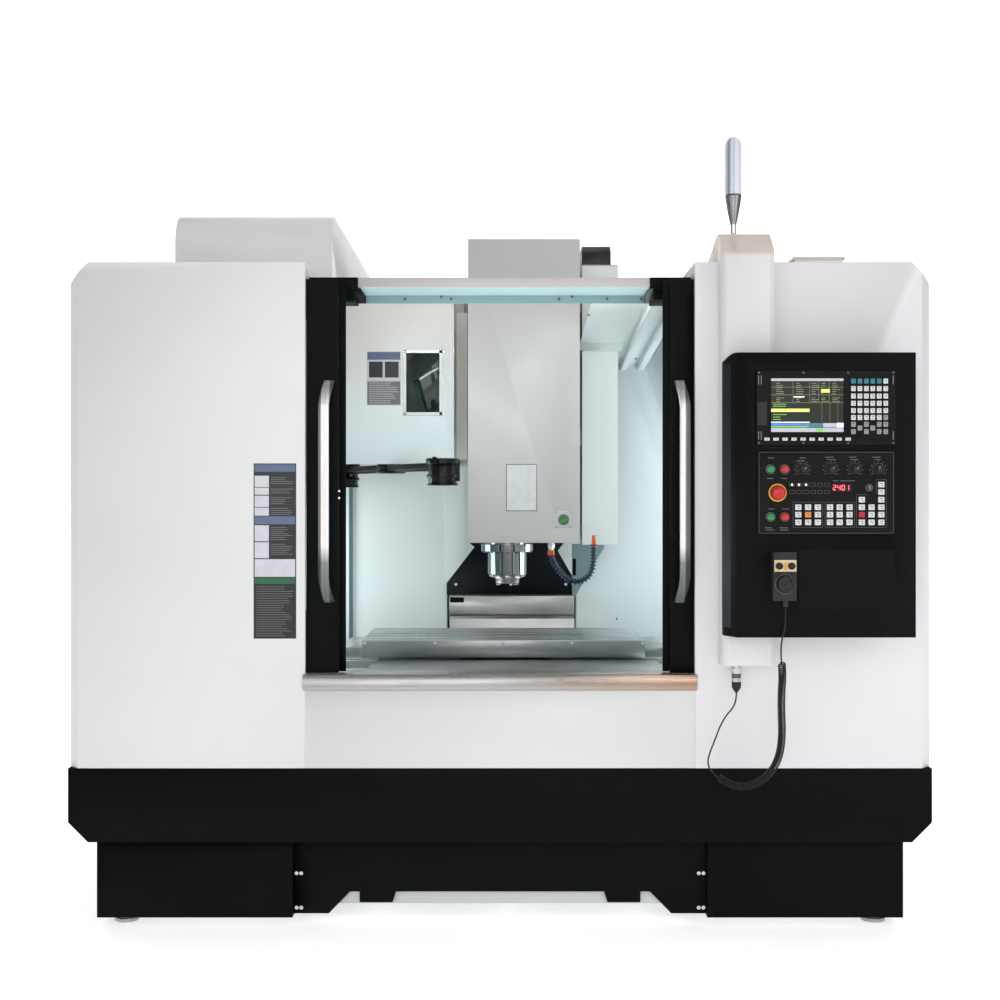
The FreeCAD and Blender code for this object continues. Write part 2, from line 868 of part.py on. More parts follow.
def saddle():
    """The cast saddle on the Y rails, with the X rails, screw and motor on top."""
    depth = (saddle_front, saddle_back)
    outline = [(machine_x - saddle_belly, saddle_bottom), (machine_x + saddle_belly, saddle_bottom),
               (machine_x + saddle_half, saddle_top - 50), (machine_x + saddle_half, saddle_top),
               (machine_x - saddle_half, saddle_top), (machine_x - saddle_half, saddle_top - 50)]
    body = front_prism(outline, depth)
    groove = block(around(machine_x, saddle_half + 1), around(spindle_depth, screw_channel),
                   (saddle_top - 25, saddle_top + 1))
    carriages = []
    for side in (-1, 1):
        for place in (-y_block_half, y_block_half):
            x = around(machine_x + side * y_rail_half, block_width / 2)
            depth = around(spindle_depth + place, block_length / 2)
            z = (saddle_bottom - block_height + 10, saddle_bottom)
            carriages.append(guide_block(y_rail(side), x, depth, z))
    screw_z = bed_top - screw_channel / 2
    nut = block(around(machine_x, 40), around(spindle_depth, 40),
                (screw_z - screw_radius - 5, saddle_bottom))
    nut = nut.cut(fore_aft(machine_x, around(spindle_depth, 41), screw_z,
                           screw_radius + screw_gap))
    casting = fuse(body.cut(groove), nut, x_rail(-1), x_rail(1), *carriages)
    x_screw_z = saddle_top + 10
    screw = crosswise(around(machine_x, saddle_half), spindle_depth, x_screw_z, 12.0)
    ends = [block(x, around(spindle_depth, 40), (saddle_top - 25, x_screw_z + 20))
            for x in ((machine_x - saddle_half, machine_x - saddle_half + 30),
                      (machine_x + saddle_half - 30, machine_x + saddle_half))]
    motor = block((machine_x + saddle_half, machine_x + saddle_half + 2 * motor_size),
                  around(spindle_depth, motor_size / 2 - 8),
                  (wing_foot + 2, wing_foot + 2 + 60))
    return group(casting, fuse(screw, *ends, motor))


def saddle_way_covers():
    """The side covers and the rear tray cover that travel with the saddle."""
    wings = []
    for side in (-1, 1):
        x = sorted((machine_x + side * (saddle_half + 1), side * (wall_half - 10)))
        depth = around(spindle_depth, wing_depth / 2)
        outer = block(x, depth, (wing_foot, wing_top))
        inner = block((x[0] - 1, x[1] + 1), (depth[0] + sheet, depth[1] - sheet),
                      (wing_foot - 1, wing_top - sheet))
        wings.append(outer.cut(inner))
    top_strip = block(around(machine_x, saddle_half + 2), around(spindle_depth, wing_depth / 2),
                      (wing_top - 2, wing_top))
    hole = block(around(machine_x, saddle_half - 1), around(spindle_depth, saddle_width / 2),
                 (wing_top - 3, wing_top + 1))
    rim = top_strip.cut(hole)
    slider = block((front_plate_left + 10, front_plate_right - 10),
                   (sliding_plate_front, sliding_plate_back), (wing_top, wing_top + sheet))
    x = (rear_cover_left + 2 * sheet, rear_cover_right - 2 * sheet)
    front = table_back + 9
    depth = (front, front + tray_length)
    outer = block(x, depth, (saddle_top + 10, tray_top))
    inner = block((x[0] + sheet, x[1] - sheet), (front + sheet, depth[1] + 1),
                  (saddle_top + 9, tray_top - sheet))
    foot = block(x, (saddle_back, front + sheet), (saddle_top + 7, saddle_top + 10))
    pad = block(x, (saddle_back - 40, saddle_back + 10), (saddle_top, saddle_top + 7))
    return group(fuse(wings[0], wings[1], rim, slider), fuse(outer.cut(inner), foot, pad))


def work_table():
    """The cast table with its T-slots, its carriages and its nut."""
    x = around(table_x, table_length / 2)
    body = block(x, (table_front, table_back), (table_bottom, table_top))
    slots = []
    for i in range(slot_count):
        middle = spindle_depth + (i - (slot_count - 1) / 2) * slot_pitch
        slots.append(block((x[0] - 1, x[1] + 1), around(middle, slot_throat / 2),
                           (table_top - slot_depth, table_top + 1)))
        slots.append(block((x[0] - 1, x[1] + 1), around(middle, slot_foot / 2),
                           (table_top - slot_depth, table_top - slot_lip)))
    carriages = []
    for side in (-1, 1):
        for place in (-x_block_half, x_block_half):
            depth = around(spindle_depth + side * x_rail_half, block_width / 2)
            span = around(table_x + place, block_length / 2)
            z = (table_bottom - block_height, table_bottom)
            carriages.append(guide_block(x_rail(side), span, depth, z))
    screw_z = saddle_top + 10
    nut = block(around(table_x, 45), around(spindle_depth, 32), (saddle_top - 20, table_bottom))
    nut = nut.cut(crosswise(around(table_x, 46), spindle_depth, screw_z, 12.0 + screw_gap))
    return fuse(body.cut(slots), nut, *carriages)


def table_way_covers():
    """The stainless apron on the table's front and the covers on its ends."""
    x = around(table_x, table_length / 2)
    apron = block(x, (table_front - sheet, table_front), (table_bottom, table_top))
    ends = []
    for side in (-1, 1):
        inner_x = table_x + side * table_length / 2
        span = sorted((inner_x, inner_x + side * cover_wing))
        depth = around(spindle_depth, wing_depth / 2)
        outer = block(span, depth, (table_bottom, table_bottom + cover_step))
        hollow = block((span[0] - 1, span[1] + 1), (depth[0] + sheet, depth[1] - sheet),
                       (table_bottom - 1, table_bottom + cover_step - sheet))
        ends.append(outer.cut(hollow))
    return group(apron, *ends)


def spindle_head():
    """The cast head on the Z rails, bored for the spindle's cartridge."""
    front = block(around(machine_x, head_half), (head_front, spindle_depth + head_half + 20),
                  (head_bottom, head_top))
    neck = block(around(machine_x, head_half), (spindle_depth + head_half, head_plate_depth),
                 (neck_bottom, neck_top))
    back = (head_plate_depth, head_plate_depth + head_plate)
    plate = block(around(machine_x, head_plate_half), back, (head_plate_bottom, head_plate_top))
    carriages = []
    for side in (-1, 1):
        for place in (z_block_low, z_block_high):
            x = around(machine_x + side * z_rail_half, block_width / 2)
            carriages.append(guide_block(z_rail(side), x, (back[1], column_front - 8),
                                         around(place, block_length / 2)))
    screw_depth = column_front - screw_radius - 2
    nut = block(around(machine_x, 40), (back[1] - 1, column_front - 1), (1420.0, 1520.0))
    bore = upright(machine_x, screw_depth, (head_bottom - 1, column_top),
                   screw_radius + screw_gap)
    barrel = upright(machine_x, spindle_depth, (head_bottom - 1, head_top + 1), head_bore)
    body = fuse(front, neck, plate, nut, *carriages)
    return body.cut([bore, barrel])


def spindle_cartridge():
    """The chromed spindle housing: a flange, a long sleeve and a running bore."""
    inner = spindle_radius + bearing_gap
    barrel = head_bore - 0.05
    profile = [(inner, sleeve_bottom), (sleeve_radius - 4, sleeve_bottom),
               (sleeve_radius, sleeve_bottom + 4), (sleeve_radius, flange_bottom),
               (flange_radius, flange_bottom), (flange_radius, flange_top),
               (barrel, flange_top), (barrel, cartridge_top), (inner, cartridge_top)]
    return turned(profile, machine_x, spindle_depth)


def spindle():
    """The spindle with its stepped nose, its tapered socket and its coupling."""
    throat = taper_mouth - taper_depth * taper_ratio
    step = sleeve_bottom - 12
    profile = [(taper_mouth, spindle_nose), (nose_radius - 6, spindle_nose),
               (nose_radius - 6, step), (nose_radius, step), (nose_radius, sleeve_bottom - 1),
               (spindle_radius, sleeve_bottom - 1), (spindle_radius, spindle_top),
               (8.5, spindle_top), (8.5, spindle_nose + taper_depth),
               (throat, spindle_nose + taper_depth)]
    body = turned(profile, machine_x, spindle_depth)
    keys = [block(around(machine_x + side * 32, 9), around(spindle_depth, 8),
                  (spindle_nose - 7, spindle_nose)) for side in (-1, 1)]
    return fuse(body, *keys)


def spindle_motor():
    """The spindle motor on the head, and its terminal box on the hose duct."""
    shaft = upright(machine_x, spindle_depth, (spindle_top + 2, head_top), 19.0)
    motor = block(around(machine_x, motor_half), around(spindle_depth, motor_half),
                  (head_top, motor_top))
    box = block((duct_left + 8, duct_right - 16), (terminal_depth, duct_back),
                (duct_top, duct_top + terminal_height))
    bevel = side_prism([(terminal_depth, duct_top + terminal_height),
                        (terminal_depth, duct_top + terminal_height - 26),
                        (terminal_depth + 30, duct_top + terminal_height)],
                       (duct_left, duct_right))
    return group(fuse(shaft, motor), box.cut(bevel))


def head_cover():
    """The folded cover over the head, with the hose duct bracketed to its side."""
    x = (cover_left, cover_right)
    outer = block(x, (cover_front, cover_back), (cover_bottom, cover_top))
    inner = block((x[0] + sheet, x[1] - sheet), (cover_front + sheet, cover_back + 1),
                  (cover_bottom + sheet, cover_top - sheet))
    hole = upright(machine_x, spindle_depth, (cover_bottom - 1, cover_bottom + sheet + 1),
                   head_bore + 4)
    release = fore_aft(release_x, (cover_front - 1, cover_front + sheet + 1), release_z,
                       button_stem + 0.5)
    shell = outer.cut([inner, hole, release])
    plate = block(around(release_x, release_plate / 2), (cover_front - 2, cover_front),
                  around(release_z, release_plate / 2))
    plate = plate.cut(fore_aft(release_x, (cover_front - 3, cover_front + 1), release_z,
                               button_stem + 0.5))
    duct = block((duct_left, duct_right), (duct_front, duct_back), (duct_bottom, duct_top))
    duct_hollow = block((duct_left + sheet, duct_right - sheet),
                        (duct_front + sheet, duct_back - sheet),
                        (duct_bottom - 1, duct_top - sheet))
    brackets = [block((cover_right, duct_left), (duct_front + 40, duct_front + 160), z)
                for z in ((1500.0, 1560.0), (2000.0, 2060.0))]
    return fuse(shell, plate, duct.cut(duct_hollow), *brackets)


def release_button():
    """The green tool-release button on the head's cover."""
    cap_front = cover_front - 2 - button_travel - 0.5
    cap = fore_aft(release_x, (cap_front - button_cap, cap_front), release_z, button_radius + 3)
    stem = fore_aft(release_x, (cap_front - 1, cover_front + stem_length), release_z,
                    button_stem)
    return fuse(cap, stem)


def ring_at(point, direction, radius):
    """A circle square to a direction in the plane of the hose, with a steady start."""
    circle = Part.makeCircle(radius)
    circle.Placement = FreeCAD.Placement(point, FreeCAD.Rotation(V(0, 1, 0), V(), direction, "ZXY"))
    return Part.Wire([circle])


def coolant_hose():
    """Ball-jointed links with a bore, between a steel nipple and an orange nozzle."""
    route = [(hose_x, hose_top), (hose_x, hose_top - 14), (201.0, 1056.0), (234.0, 1012.0),
             (272.0, 994.0), (311.0, 1004.0), (335.0, 1034.0), (342.0, 1078.0), (342.0, 1131.0)]
    curve = Part.BSplineCurve()
    curve.interpolate(Points=[at(x, hose_depth, z) for x, z in route],
                      InitialTangent=V(0, 0, -1), FinalTangent=V(0, 0, 1))
    length = curve.length()
    link_shape = ((0.0, hose_waist), (0.3, hose_radius), (0.7, hose_radius), (0.95, hose_waist))
    outer = []
    inner = []
    for i in range(hose_links):
        for share, radius in link_shape:
            step = curve.parameterAtDistance((i + share) / hose_links * length,
                                             curve.FirstParameter)
            point = curve.value(step)
            direction = V(*curve.tangent(step)[0])
            outer.append(ring_at(point, direction, radius))
            if share in (0.0, 0.7):
                inner.append(ring_at(point, direction, hose_bore))
    tip = curve.value(curve.LastParameter)
    up = V(0, 0, 1)
    outer.append(ring_at(tip, up, hose_waist))
    outer.append(ring_at(tip + up * 4, up, hose_radius))
    outer.append(ring_at(tip + up * (nozzle_length - 12), up, nozzle_tip + 1))
    outer.append(ring_at(tip + up * nozzle_length, up, nozzle_tip))
    inner.append(ring_at(tip, up, hose_bore))
    inner.append(ring_at(tip + up * (nozzle_length + 1), up, nozzle_tip - 2.5))
    hose = Part.makeLoft(outer, True, True).cut(Part.makeLoft(inner, True, True))
    ring = upright(hose_x, hose_depth, (hose_top, hose_top + ring_height), ring_radius)
    nipple = upright(hose_x, hose_depth, (hose_top + ring_height, cover_bottom), nipple_radius)
    return group(hose, fuse(ring, nipple))


def door_leaf():
    """The left door: a black frame with a window, a sealing lip and a top hanger."""
    right = -stile_edge + door_meet
    left = right - leaf_width
    depth = (door_front, door_front + door_thickness)
    body = block((left, right), depth, (door_bottom, door_top))
    window = block((left + stile_width, right - stile_width), (depth[0] - 1, depth[1] + 1),
                   (door_bottom + bottom_rail, door_top - top_rail))
    lip = block((right, right + stile_lip), (depth[1] - lip_thickness, depth[1]),
                (door_bottom, door_top))
    middle = door_front + door_thickness / 2
    hanger = block((left, left + hanger_length), around(middle, hanger_thickness / 2),
                   (door_top, door_top + hanger_height))
    return fuse(body.cut(window), lip, hanger)


def door_window():
    """The pane in the left door, held in the middle of its frame."""
    right = -stile_edge + door_meet
    left = right - leaf_width
    middle = door_front + door_thickness / 2
    return block((left + stile_width, right - stile_width), around(middle, pane_thickness / 2),
                 (door_bottom + bottom_rail, door_top - top_rail))


def door_handle():
    """The left door's bowed flat bar, bent in to the stile at both ends."""
    end_x = -stile_edge + door_meet - handle_inset
    section = []
    rises = [handle_bend * i / handle_steps for i in range(handle_steps + 1)]
    heights = [(handle_bottom + rise, rise / handle_bend) for rise in rises]
    heights += [(handle_top - rise, rise / handle_bend) for rise in rises[::-1]]
    for z, share in heights:
        ease = math.sin(share * math.pi / 2)
        x = around(end_x - handle_bow * ease, handle_width / 2)
        back = door_front - (handle_reach - handle_bar) * ease
        corners = [at(x[0], back, z), at(x[1], back, z), at(x[1], back - handle_bar, z),
                   at(x[0], back - handle_bar, z)]
        section.append(Part.makePolygon(corners + corners[:1]))
    return Part.makeLoft(section, True, True)


def magazine_cover():
    """The tall white box over the tool magazine, with its rounded front edge."""
    def body(inset, foot):
        front = hump_front + inset
        top = hump_top - inset
        bend = hump_round - inset
        corner = bend * (1 - math.sqrt(0.5))
        start = at(hump_left + inset, front, top - bend)
        end = at(hump_left + inset, front + bend, top)
        middle = at(hump_left + inset, front + corner, top - corner)
        foot_front = at(hump_left + inset, front, foot)
        foot_back = at(hump_left + inset, hump_back - inset, foot)
        top_back = at(hump_left + inset, hump_back - inset, top)
        edges = [Part.LineSegment(foot_front, start).toShape(),
                 Part.Arc(start, middle, end).toShape(),
                 Part.LineSegment(end, top_back).toShape(),
                 Part.LineSegment(top_back, foot_back).toShape(),
                 Part.LineSegment(foot_back, foot_front).toShape()]
        return Part.Face(Part.Wire(edges)).extrude(V(hump_right - hump_left - 2 * inset, 0, 0))
    hole = crosswise((hump_right - 2 * sheet, hump_right + 1), spindle_depth, disc_height,
                     disc_shaft + 2 * fit_gap)
    return body(0, hump_bottom).cut([body(sheet, hump_bottom - 1), hole])


def magazine_guard():
    """The white sheets round the changer's gearbox, with the window's frame."""
    front = block((guard_left, guard_right), (guard_front, guard_front + sheet),
                  (guard_bottom, guard_top))
    side = block((guard_right - sheet, guard_right), (guard_front, panel_face),
                 (guard_bottom, guard_top))
    frame = block((window_left - window_frame - 4, window_right + window_frame - 4),
                  (guard_front - window_proud, guard_front),
                  (window_bottom - window_frame, window_top + window_frame))
    hole = block((window_left, window_right), (guard_front - 2 * window_proud,
                 guard_front + 2 * sheet), (window_bottom, window_top))
    return fuse(front, side, frame).cut(hole)


def magazine_window():
    return block((window_left, window_right), (guard_front - 2, guard_front + 2),
                 (window_bottom, window_top))


def changer_drive_box():
    """The changer's cam gearbox on the column, with the magazine's axle."""
    body = block((drive_left, drive_right), (drive_front, drive_back), (hump_bottom, drive_top))
    bore = upright(changer_x, spindle_depth, (hump_bottom - 1, quill_top + 10),
                   quill_radius + bearing_gap)
    arm = block((drive_arm_left, drive_arm_right), (drive_back, column_front),
                (drive_arm_low, drive_arm_high))
    axle = crosswise((disc_x - 4, drive_left), spindle_depth, disc_height, disc_shaft)
    return fuse(body, arm, axle).cut(bore)


def changer_quill():
    """The hardened bar that lowers the changer's arm."""
    bar = upright(changer_x, spindle_depth, (quill_bottom, quill_top), quill_radius)
    bore = upright(changer_x, spindle_depth, (quill_bottom - 1, arm_shaft_top + 2),
                   arm_shaft + bearing_gap)
    return bar.cut(bore)


def changer_arm():
    """The two-ended arm with a gripper at each end, parked clear of the spindle."""
    def half_arm():
        beam = face_of([V(0, -arm_beam_half, 0), V(changer_reach, -arm_tip_half, 0),
                        V(changer_reach, arm_tip_half, 0), V(0, arm_beam_half, 0)])
        beam = beam.extrude(V(0, 0, arm_beam_top - arm_bottom - 3))
        beam.translate(V(0, 0, arm_bottom + 3))
        grip = Part.makeCylinder(grip_radius, grip_top - grip_bottom,
                                 V(changer_reach, 0, grip_bottom))
        socket = Part.makeCylinder(grip_bore, grip_top - grip_bottom + 2,
                                   V(changer_reach, 0, grip_bottom - 1))
        mouth = Part.makeBox(grip_mouth, grip_radius + 1, grip_top - grip_bottom + 2,
                             V(changer_reach - grip_mouth / 2, 0, grip_bottom - 1))
        return beam.fuse(grip).cut([socket, mouth])
    near = half_arm()
    far = half_arm()
    far.rotate(V(0, 0, 0), V(0, 0, 1), 180)
    hub = Part.makeCylinder(arm_hub, arm_top - arm_bottom, V(0, 0, arm_bottom))
    shaft = Part.makeCylinder(arm_shaft, arm_shaft_top - arm_top, V(0, 0, arm_top))
    arm = near.fuse([far, hub, shaft]).removeSplitter()
    arm.rotate(V(0, 0, 0), V(0, 0, 1), -changer_turn)
    arm.translate(at(changer_x, spindle_depth, 0))
    return arm


def magazine_disc():
    """The magazine's disc with its ring of tool pots."""
    def along(x, radius, angle=0.0, reach=0.0):
        z = disc_height + reach * math.cos(angle)
        return crosswise(x, spindle_depth + reach * math.sin(angle), z, radius)
    plate = along((disc_x, disc_x + disc_plate), disc_radius)
    hub = along((disc_x + disc_plate, disc_x + disc_plate + 45), disc_hub)
    pots = []
    bores = [along((disc_x - pot_length, disc_x + disc_plate + 46), disc_shaft + bearing_gap)]
    for i in range(pot_count):
        angle = 2 * math.pi * i / pot_count
        pots.append(along((disc_x - pot_length, disc_x), pot_radius, angle, pot_ring))
        bores.append(along((disc_x - pot_length - 1, disc_x - 25), pot_bore, angle, pot_ring))
    return fuse(plate, hub, *pots).cut(bores)


def hinge_place():
    door_plane = machine_depth - cabinet_handle - cabinet_door_plate
    return (machine_x + cabinet_half + hinge_offset, door_plane + cabinet_door_plate / 2)


def electrical_cabinet():
    """The control cabinet on the column's back, open behind its door."""
    door_plane = machine_depth - cabinet_handle - cabinet_door_plate
    x = around(machine_x, cabinet_half)
    outer = block(x, (bed_back, door_plane - 1), (cabinet_bottom, cabinet_top))
    inner = block((x[0] + sheet, x[1] - sheet), (bed_back + sheet, door_plane + 1),
                  (cabinet_bottom + sheet, cabinet_top - sheet))
    shell = outer.cut(inner)
    pin_x, pin_depth = hinge_place()
    knuckles = []
    for foot in (cabinet_bottom + 120, cabinet_top - 200):
        z = (foot, foot + knuckle_length)
        barrel = upright(pin_x, pin_depth, z, knuckle_radius)
        strap = block((x[1] - sheet, pin_x + 3), (pin_depth - 25, pin_depth), z)
        pin = upright(pin_x, pin_depth, (z[1] - 1, z[1] + knuckle_length - 2), knuckle_pin)
        knuckles += [barrel, strap.cut(block((x[0], x[1]), (door_plane - 1, machine_depth), z)),
                     pin]
    return fuse(shell, *knuckles)


def cabinet_door():
    """The cabinet's hinged door with its lock handle."""
    door_plane = machine_depth - cabinet_handle - cabinet_door_plate
    back = machine_depth - cabinet_handle
    x = around(machine_x, cabinet_half)
    plate = block(x, (door_plane, back), (cabinet_bottom, cabinet_top))
    handle = block((x[0] + 60, x[0] + 90), (back, machine_depth), (1240.0, 1400.0))
    pin_x, pin_depth = hinge_place()
    knuckles = []
    for foot in (cabinet_bottom + 120, cabinet_top - 200):
        z = (foot + knuckle_length + 1, foot + 2 * knuckle_length + 1)
        barrel = upright(pin_x, pin_depth, z, knuckle_radius)
        strap = block((x[1] - 5, pin_x), (pin_depth, back), z)
        knuckles.append(barrel.fuse(strap).cut(upright(pin_x, pin_depth, (z[0] - 1, z[1] + 1),
                                                       knuckle_pin + bearing_gap)))
    return fuse(plate, handle, *knuckles)


def pendant_duct():
    """The white duct that carries the control box and its cables over the roof."""
    x = (duct_x_left, duct_x_right)
    outline = [(pendant_front, pendant_foot + 12), (pendant_front, pendant_shoulder),
               (pendant_ridge_depth, pendant_ridge), (40.0, pendant_ridge),
               (pendant_roof_depth, housing_top), (0, housing_top), (0, pendant_foot),
               (pendant_front + 12, pendant_foot)]
    body = side_prism(outline, x)
    cut = pendant_chamfer
    corners = []
    for edge, way in ((duct_x_left, 1), (duct_x_right, -1)):
        corner = [(edge, pendant_front), (edge + way * cut, pendant_front),
                  (edge, pendant_front + cut)]
        corners.append(plan_prism(corner, (pendant_foot - 1, pendant_ridge + 1)))
    hollow = block((x[0] + 2 * cut, x[1] - 2 * cut), (pendant_front + 2 * sheet, 1),
                   (pendant_foot + 30, pendant_shoulder - 30))
    return body.cut(corners + [hollow])


def box_outline(inset):
    """The control box from above, bevelled along its left side."""
    front = box_front + inset
    back = pendant_front - inset
    return [(box_left + inset, back), (box_left + inset, box_front + box_bevel_depth),
            (box_bevel_left + inset, front), (box_right - inset, front),
            (box_right - inset, back)]


def display_opening():
    return block((display_left + display_border, display_right - display_border),
                 (box_front - 1, box_front + 2 * sheet),
                 (display_bottom + display_border, display_top - display_border))


def switch_opening():
    return block((switch_left + switch_border, switch_right - switch_border),
                 (box_front - 1, box_front + 2 * sheet),
                 (switch_bottom + switch_border, switch_top - switch_border))


def control_box():
    """The black casing that holds the display and the switch panel."""
    outer = plan_prism(box_outline(0), (box_bottom, box_top))
    inner = plan_prism(box_outline(sheet), (box_bottom + sheet, box_top - sheet))
    corner = front_prism([(box_left - 1, box_top + 1), (box_left - 1, box_top - 22),
                          (box_left + 22, box_top + 1)], (box_front - 1, pendant_front + 1))
    return outer.cut([inner.cut(corner), corner, display_opening(), switch_opening()])


def display_unit():
    """The display and keyboard: a plate on the box and a body behind it."""
    plate = block((display_left, display_right), (box_front - display_plate, box_front),
                  (display_bottom, display_top))
    body = block((display_left + display_border, display_right - display_border),
                 (box_front, box_front + display_body),
                 (display_bottom + display_border, display_top - display_border))
    screen = block((display_left + 41, display_left + 252),
                   (box_front - display_plate - 1, box_front - display_plate + 2),
                   (display_bottom + 36, display_top - 20))
    return fuse(plate, body).cut(screen)


def round_buttons():
    """Name, place across, height and cap radius of the switch panel's round buttons."""
    return [("power_on_button", left_column, knob_row, button_radius),
            ("power_off_button", right_column, knob_row, button_radius),
            ("cycle_start_button", left_column, start_row, button_radius),
            ("feed_hold_button", right_column, start_row, button_radius)]


def knob_places():
    """Name and place across of the four selector knobs in the top row."""
    return [("mode_knob", 870.0), ("feed_knob", 951.0), ("rapid_knob", 1020.0),
            ("speed_knob", 1088.0)]


def switch_panel():
    """The switch plate with its button collars and the holes for every stem."""
    plate = block((switch_left, switch_right), (switch_face, box_front),
                  (switch_bottom, switch_top))
    body = block((switch_left + switch_border, switch_right - switch_border),
                 (box_front, box_front + switch_body),
                 (switch_bottom + switch_border, switch_top - switch_border))
    collars = []
    holes = []
    depth = (switch_face - 1, switch_face + stem_length + 4)
    for _, x, z, radius in round_buttons():
        ring = fore_aft(x, (switch_face - button_travel - 1, switch_face), z,
                        radius + button_ring - button_radius)
        bore = fore_aft(x, (switch_face - button_travel - 2, switch_face), z, radius + 0.5)
        collars.append(ring.cut(bore))
        holes.append(fore_aft(x, depth, z, button_stem + 0.5))
    stop_x = (left_column + right_column) / 2
    collars.append(fore_aft(stop_x, (switch_face - 5, switch_face), stop_row, stop_ring))
    holes.append(fore_aft(stop_x, (switch_face - 6, depth[1] + stop_travel), stop_row,
                          2 * button_stem - 1))
    for _, x in knob_places():
        holes.append(fore_aft(x, depth, knob_row, knob_shaft + bearing_gap))
    return fuse(plate, body, *collars).cut(holes)


def push_button(x, z, radius):
    """A round push button with its stem through the panel."""
    back = switch_face - button_travel - 0.5
    cap = fore_aft(x, (back - button_cap, back), z, radius)
    stem = fore_aft(x, (back - 1, switch_face + stem_length - button_travel - 1), z, button_stem)
    return fuse(cap, stem)


def stop_button():
    """The red mushroom button with its rounded head."""
    x = (left_column + right_column) / 2
    back = switch_face - 5 - stop_travel - 0.5
    cap = fore_aft(x, (back - stop_cap, back), stop_row, stop_radius)
    rim = [edge for edge in cap.Edges if abs(edge.CenterOfMass.y - cap.BoundBox.YMin) < 0.1]
    cap = cap.makeFillet(6, rim)
    stem = fore_aft(x, (back - 1, switch_face + stem_length - stop_travel), stop_row,
                    2 * button_stem - 2)
    return fuse(cap, stem)


def selector_knob(x):
    """A skirted knob with a pointer rib."""
    back = switch_face - 0.5
    skirt = fore_aft(x, (back - 4, back), knob_row, knob_radius)
    grip = fore_aft(x, (back - knob_height, back - 3), knob_row, knob_radius - 4)
    rib = block(around(x, 2.5), (back - knob_height - 1, back - 3),
                (knob_row - 4, knob_row + knob_radius - 1))
    shaft = fore_aft(x, (back - 1, switch_face + stem_length), knob_row, knob_shaft)
    return fuse(skirt, grip, rib, shaft)


def handwheel_unit():
    """The hand-held pulse box that hangs on the control box's front."""
    face = box_front - wheel_face
    body = block((wheel_left, wheel_right), (face, box_front), (wheel_bottom, wheel_top))
    upright_edges = [edge for edge in body.Edges
                     if abs(edge.tangentAt(edge.FirstParameter).z) > 0.9
                     and edge.CenterOfMass.y < front_y + face + 1]
    body = body.makeFillet(6, upright_edges)
    knobs = [fore_aft(x, (face - selector_height, face), selector_z, selector_radius)
             for x in (wheel_left + 18, wheel_right - 17)]
    hole = fore_aft(dial_x, (face - 1, face + 20), dial_z, knob_shaft + 2 + bearing_gap)
    gland = upright(dial_x + 3, box_front - 35, (wheel_bottom - gland_length, wheel_bottom),
                    gland_radius)
    return fuse(body, gland, *knobs).cut(hole)


def handwheel_dial():
    """The pulse dial with its small crank knob at the panel's front limit."""
    back = box_front - wheel_face - 0.5
    front = back - dial_height
    disc = fore_aft(dial_x, (front, back), dial_z, dial_radius)
    crank = fore_aft(dial_x + 16, (-panel_reach, front), dial_z + 10, 5.0)
    shaft = fore_aft(dial_x, (back - 1, back + 18), dial_z, knob_shaft + 2)
    return fuse(disc, crank, shaft)


# The cord leaves the gland, coils down past the box, swings left and rises to its connector.
upper_route = [(815.0, -230.0, 990.0), (815.0, -230.0, 964.0), (814.0, -227.0, 930.0),
               (808.0, -210.0, 892.0), (808.2, -191.2, 858.4), (813.0, -180.0, 828.0)]
coil_route = [(813.0, -180.0, 828.0), (819.0, -166.0, 790.0), (817.0, -155.0, 735.0),
              (818.0, -148.0, 680.0), (822.0, -142.0, 622.0), (819.0, -132.0, 560.0),
              (802.0, -120.0, 508.0), (768.0, -110.0, 470.0), (720.0, -98.0, 448.0),
              (672.0, -89.2, 457.0), (640.0, -84.0, 480.0)]
lower_route = [(640.0, -84.0, 480.0), (620.8, -80.88, 493.8), (613.0, -78.0, 522.0),
               (622.0, -75.0, 552.0), (638.0, -70.0, 588.0), (652.0, -64.0, 624.0),
               (672.0, -57.0, 656.0), (694.0, -52.0, 678.0), (703.0, -50.0, 703.0),
               (703.0, -50.0, 723.0)]


def tube_along(route, radius):
    """A round tube on straight runs joined by tangent arcs, and its tightest bend."""
    points = [at(*point) for point in route]
    edges = []
    tightest = 1e9
    start = points[0]
    for before, corner, after in zip(points, points[1:], points[2:]):
        into = (corner - before).normalize()
        out = (after - corner).normalize()
        run = min((corner - before).Length, (after - corner).Length)
        trim = 0.45 * run
        enter = corner - into * trim
        leave = corner + out * trim
        turn = into.getAngle(out)
        bend = trim / math.tan(turn / 2)
        tightest = min(tightest, bend)
        weight = math.cos(turn / 2)
        middle = (enter + corner * (2 * weight) + leave) / (2 + 2 * weight)
        edges.append(Part.LineSegment(start, enter).toShape())
        edges.append(Part.Arc(enter, middle, leave).toShape())
        start = leave
    edges.append(Part.LineSegment(start, points[-1]).toShape())
    path = Part.Wire(edges)
    ring = Part.Wire([Part.makeCircle(radius, points[0], points[1] - points[0])])
    tube = path.makePipeShell([ring], True, False)
    print("tube length", round(path.Length), "tightest bend", round(tightest, 1),
          "volume share", round(tube.Volume / (math.pi * radius ** 2 * path.Length), 4))
    return tube


def arc_pair(start, start_way, end, end_way):
    """Two tangent arcs that join two points with given directions."""
    chord = end - start
    total = start_way + end_way
    open_angle = 2 * (1 - start_way.dot(end_way))
    reach = chord.dot(total)
    root = math.sqrt(reach * reach + open_angle * chord.dot(chord))
    handle = (root - reach) / open_angle
    first_pole = start + start_way * handle
    last_pole = end - end_way * handle
    joint = (first_pole + last_pole) / 2
    arcs = []
    for near, pole, far in ((start, first_pole, joint), (joint, last_pole, end)):
        weight = (far - near).Length / 2 / handle
        middle = (near + pole * (2 * weight) + far) / (2 + 2 * weight)
        arcs.append(Part.Arc(near, middle, far).toShape())
    return arcs


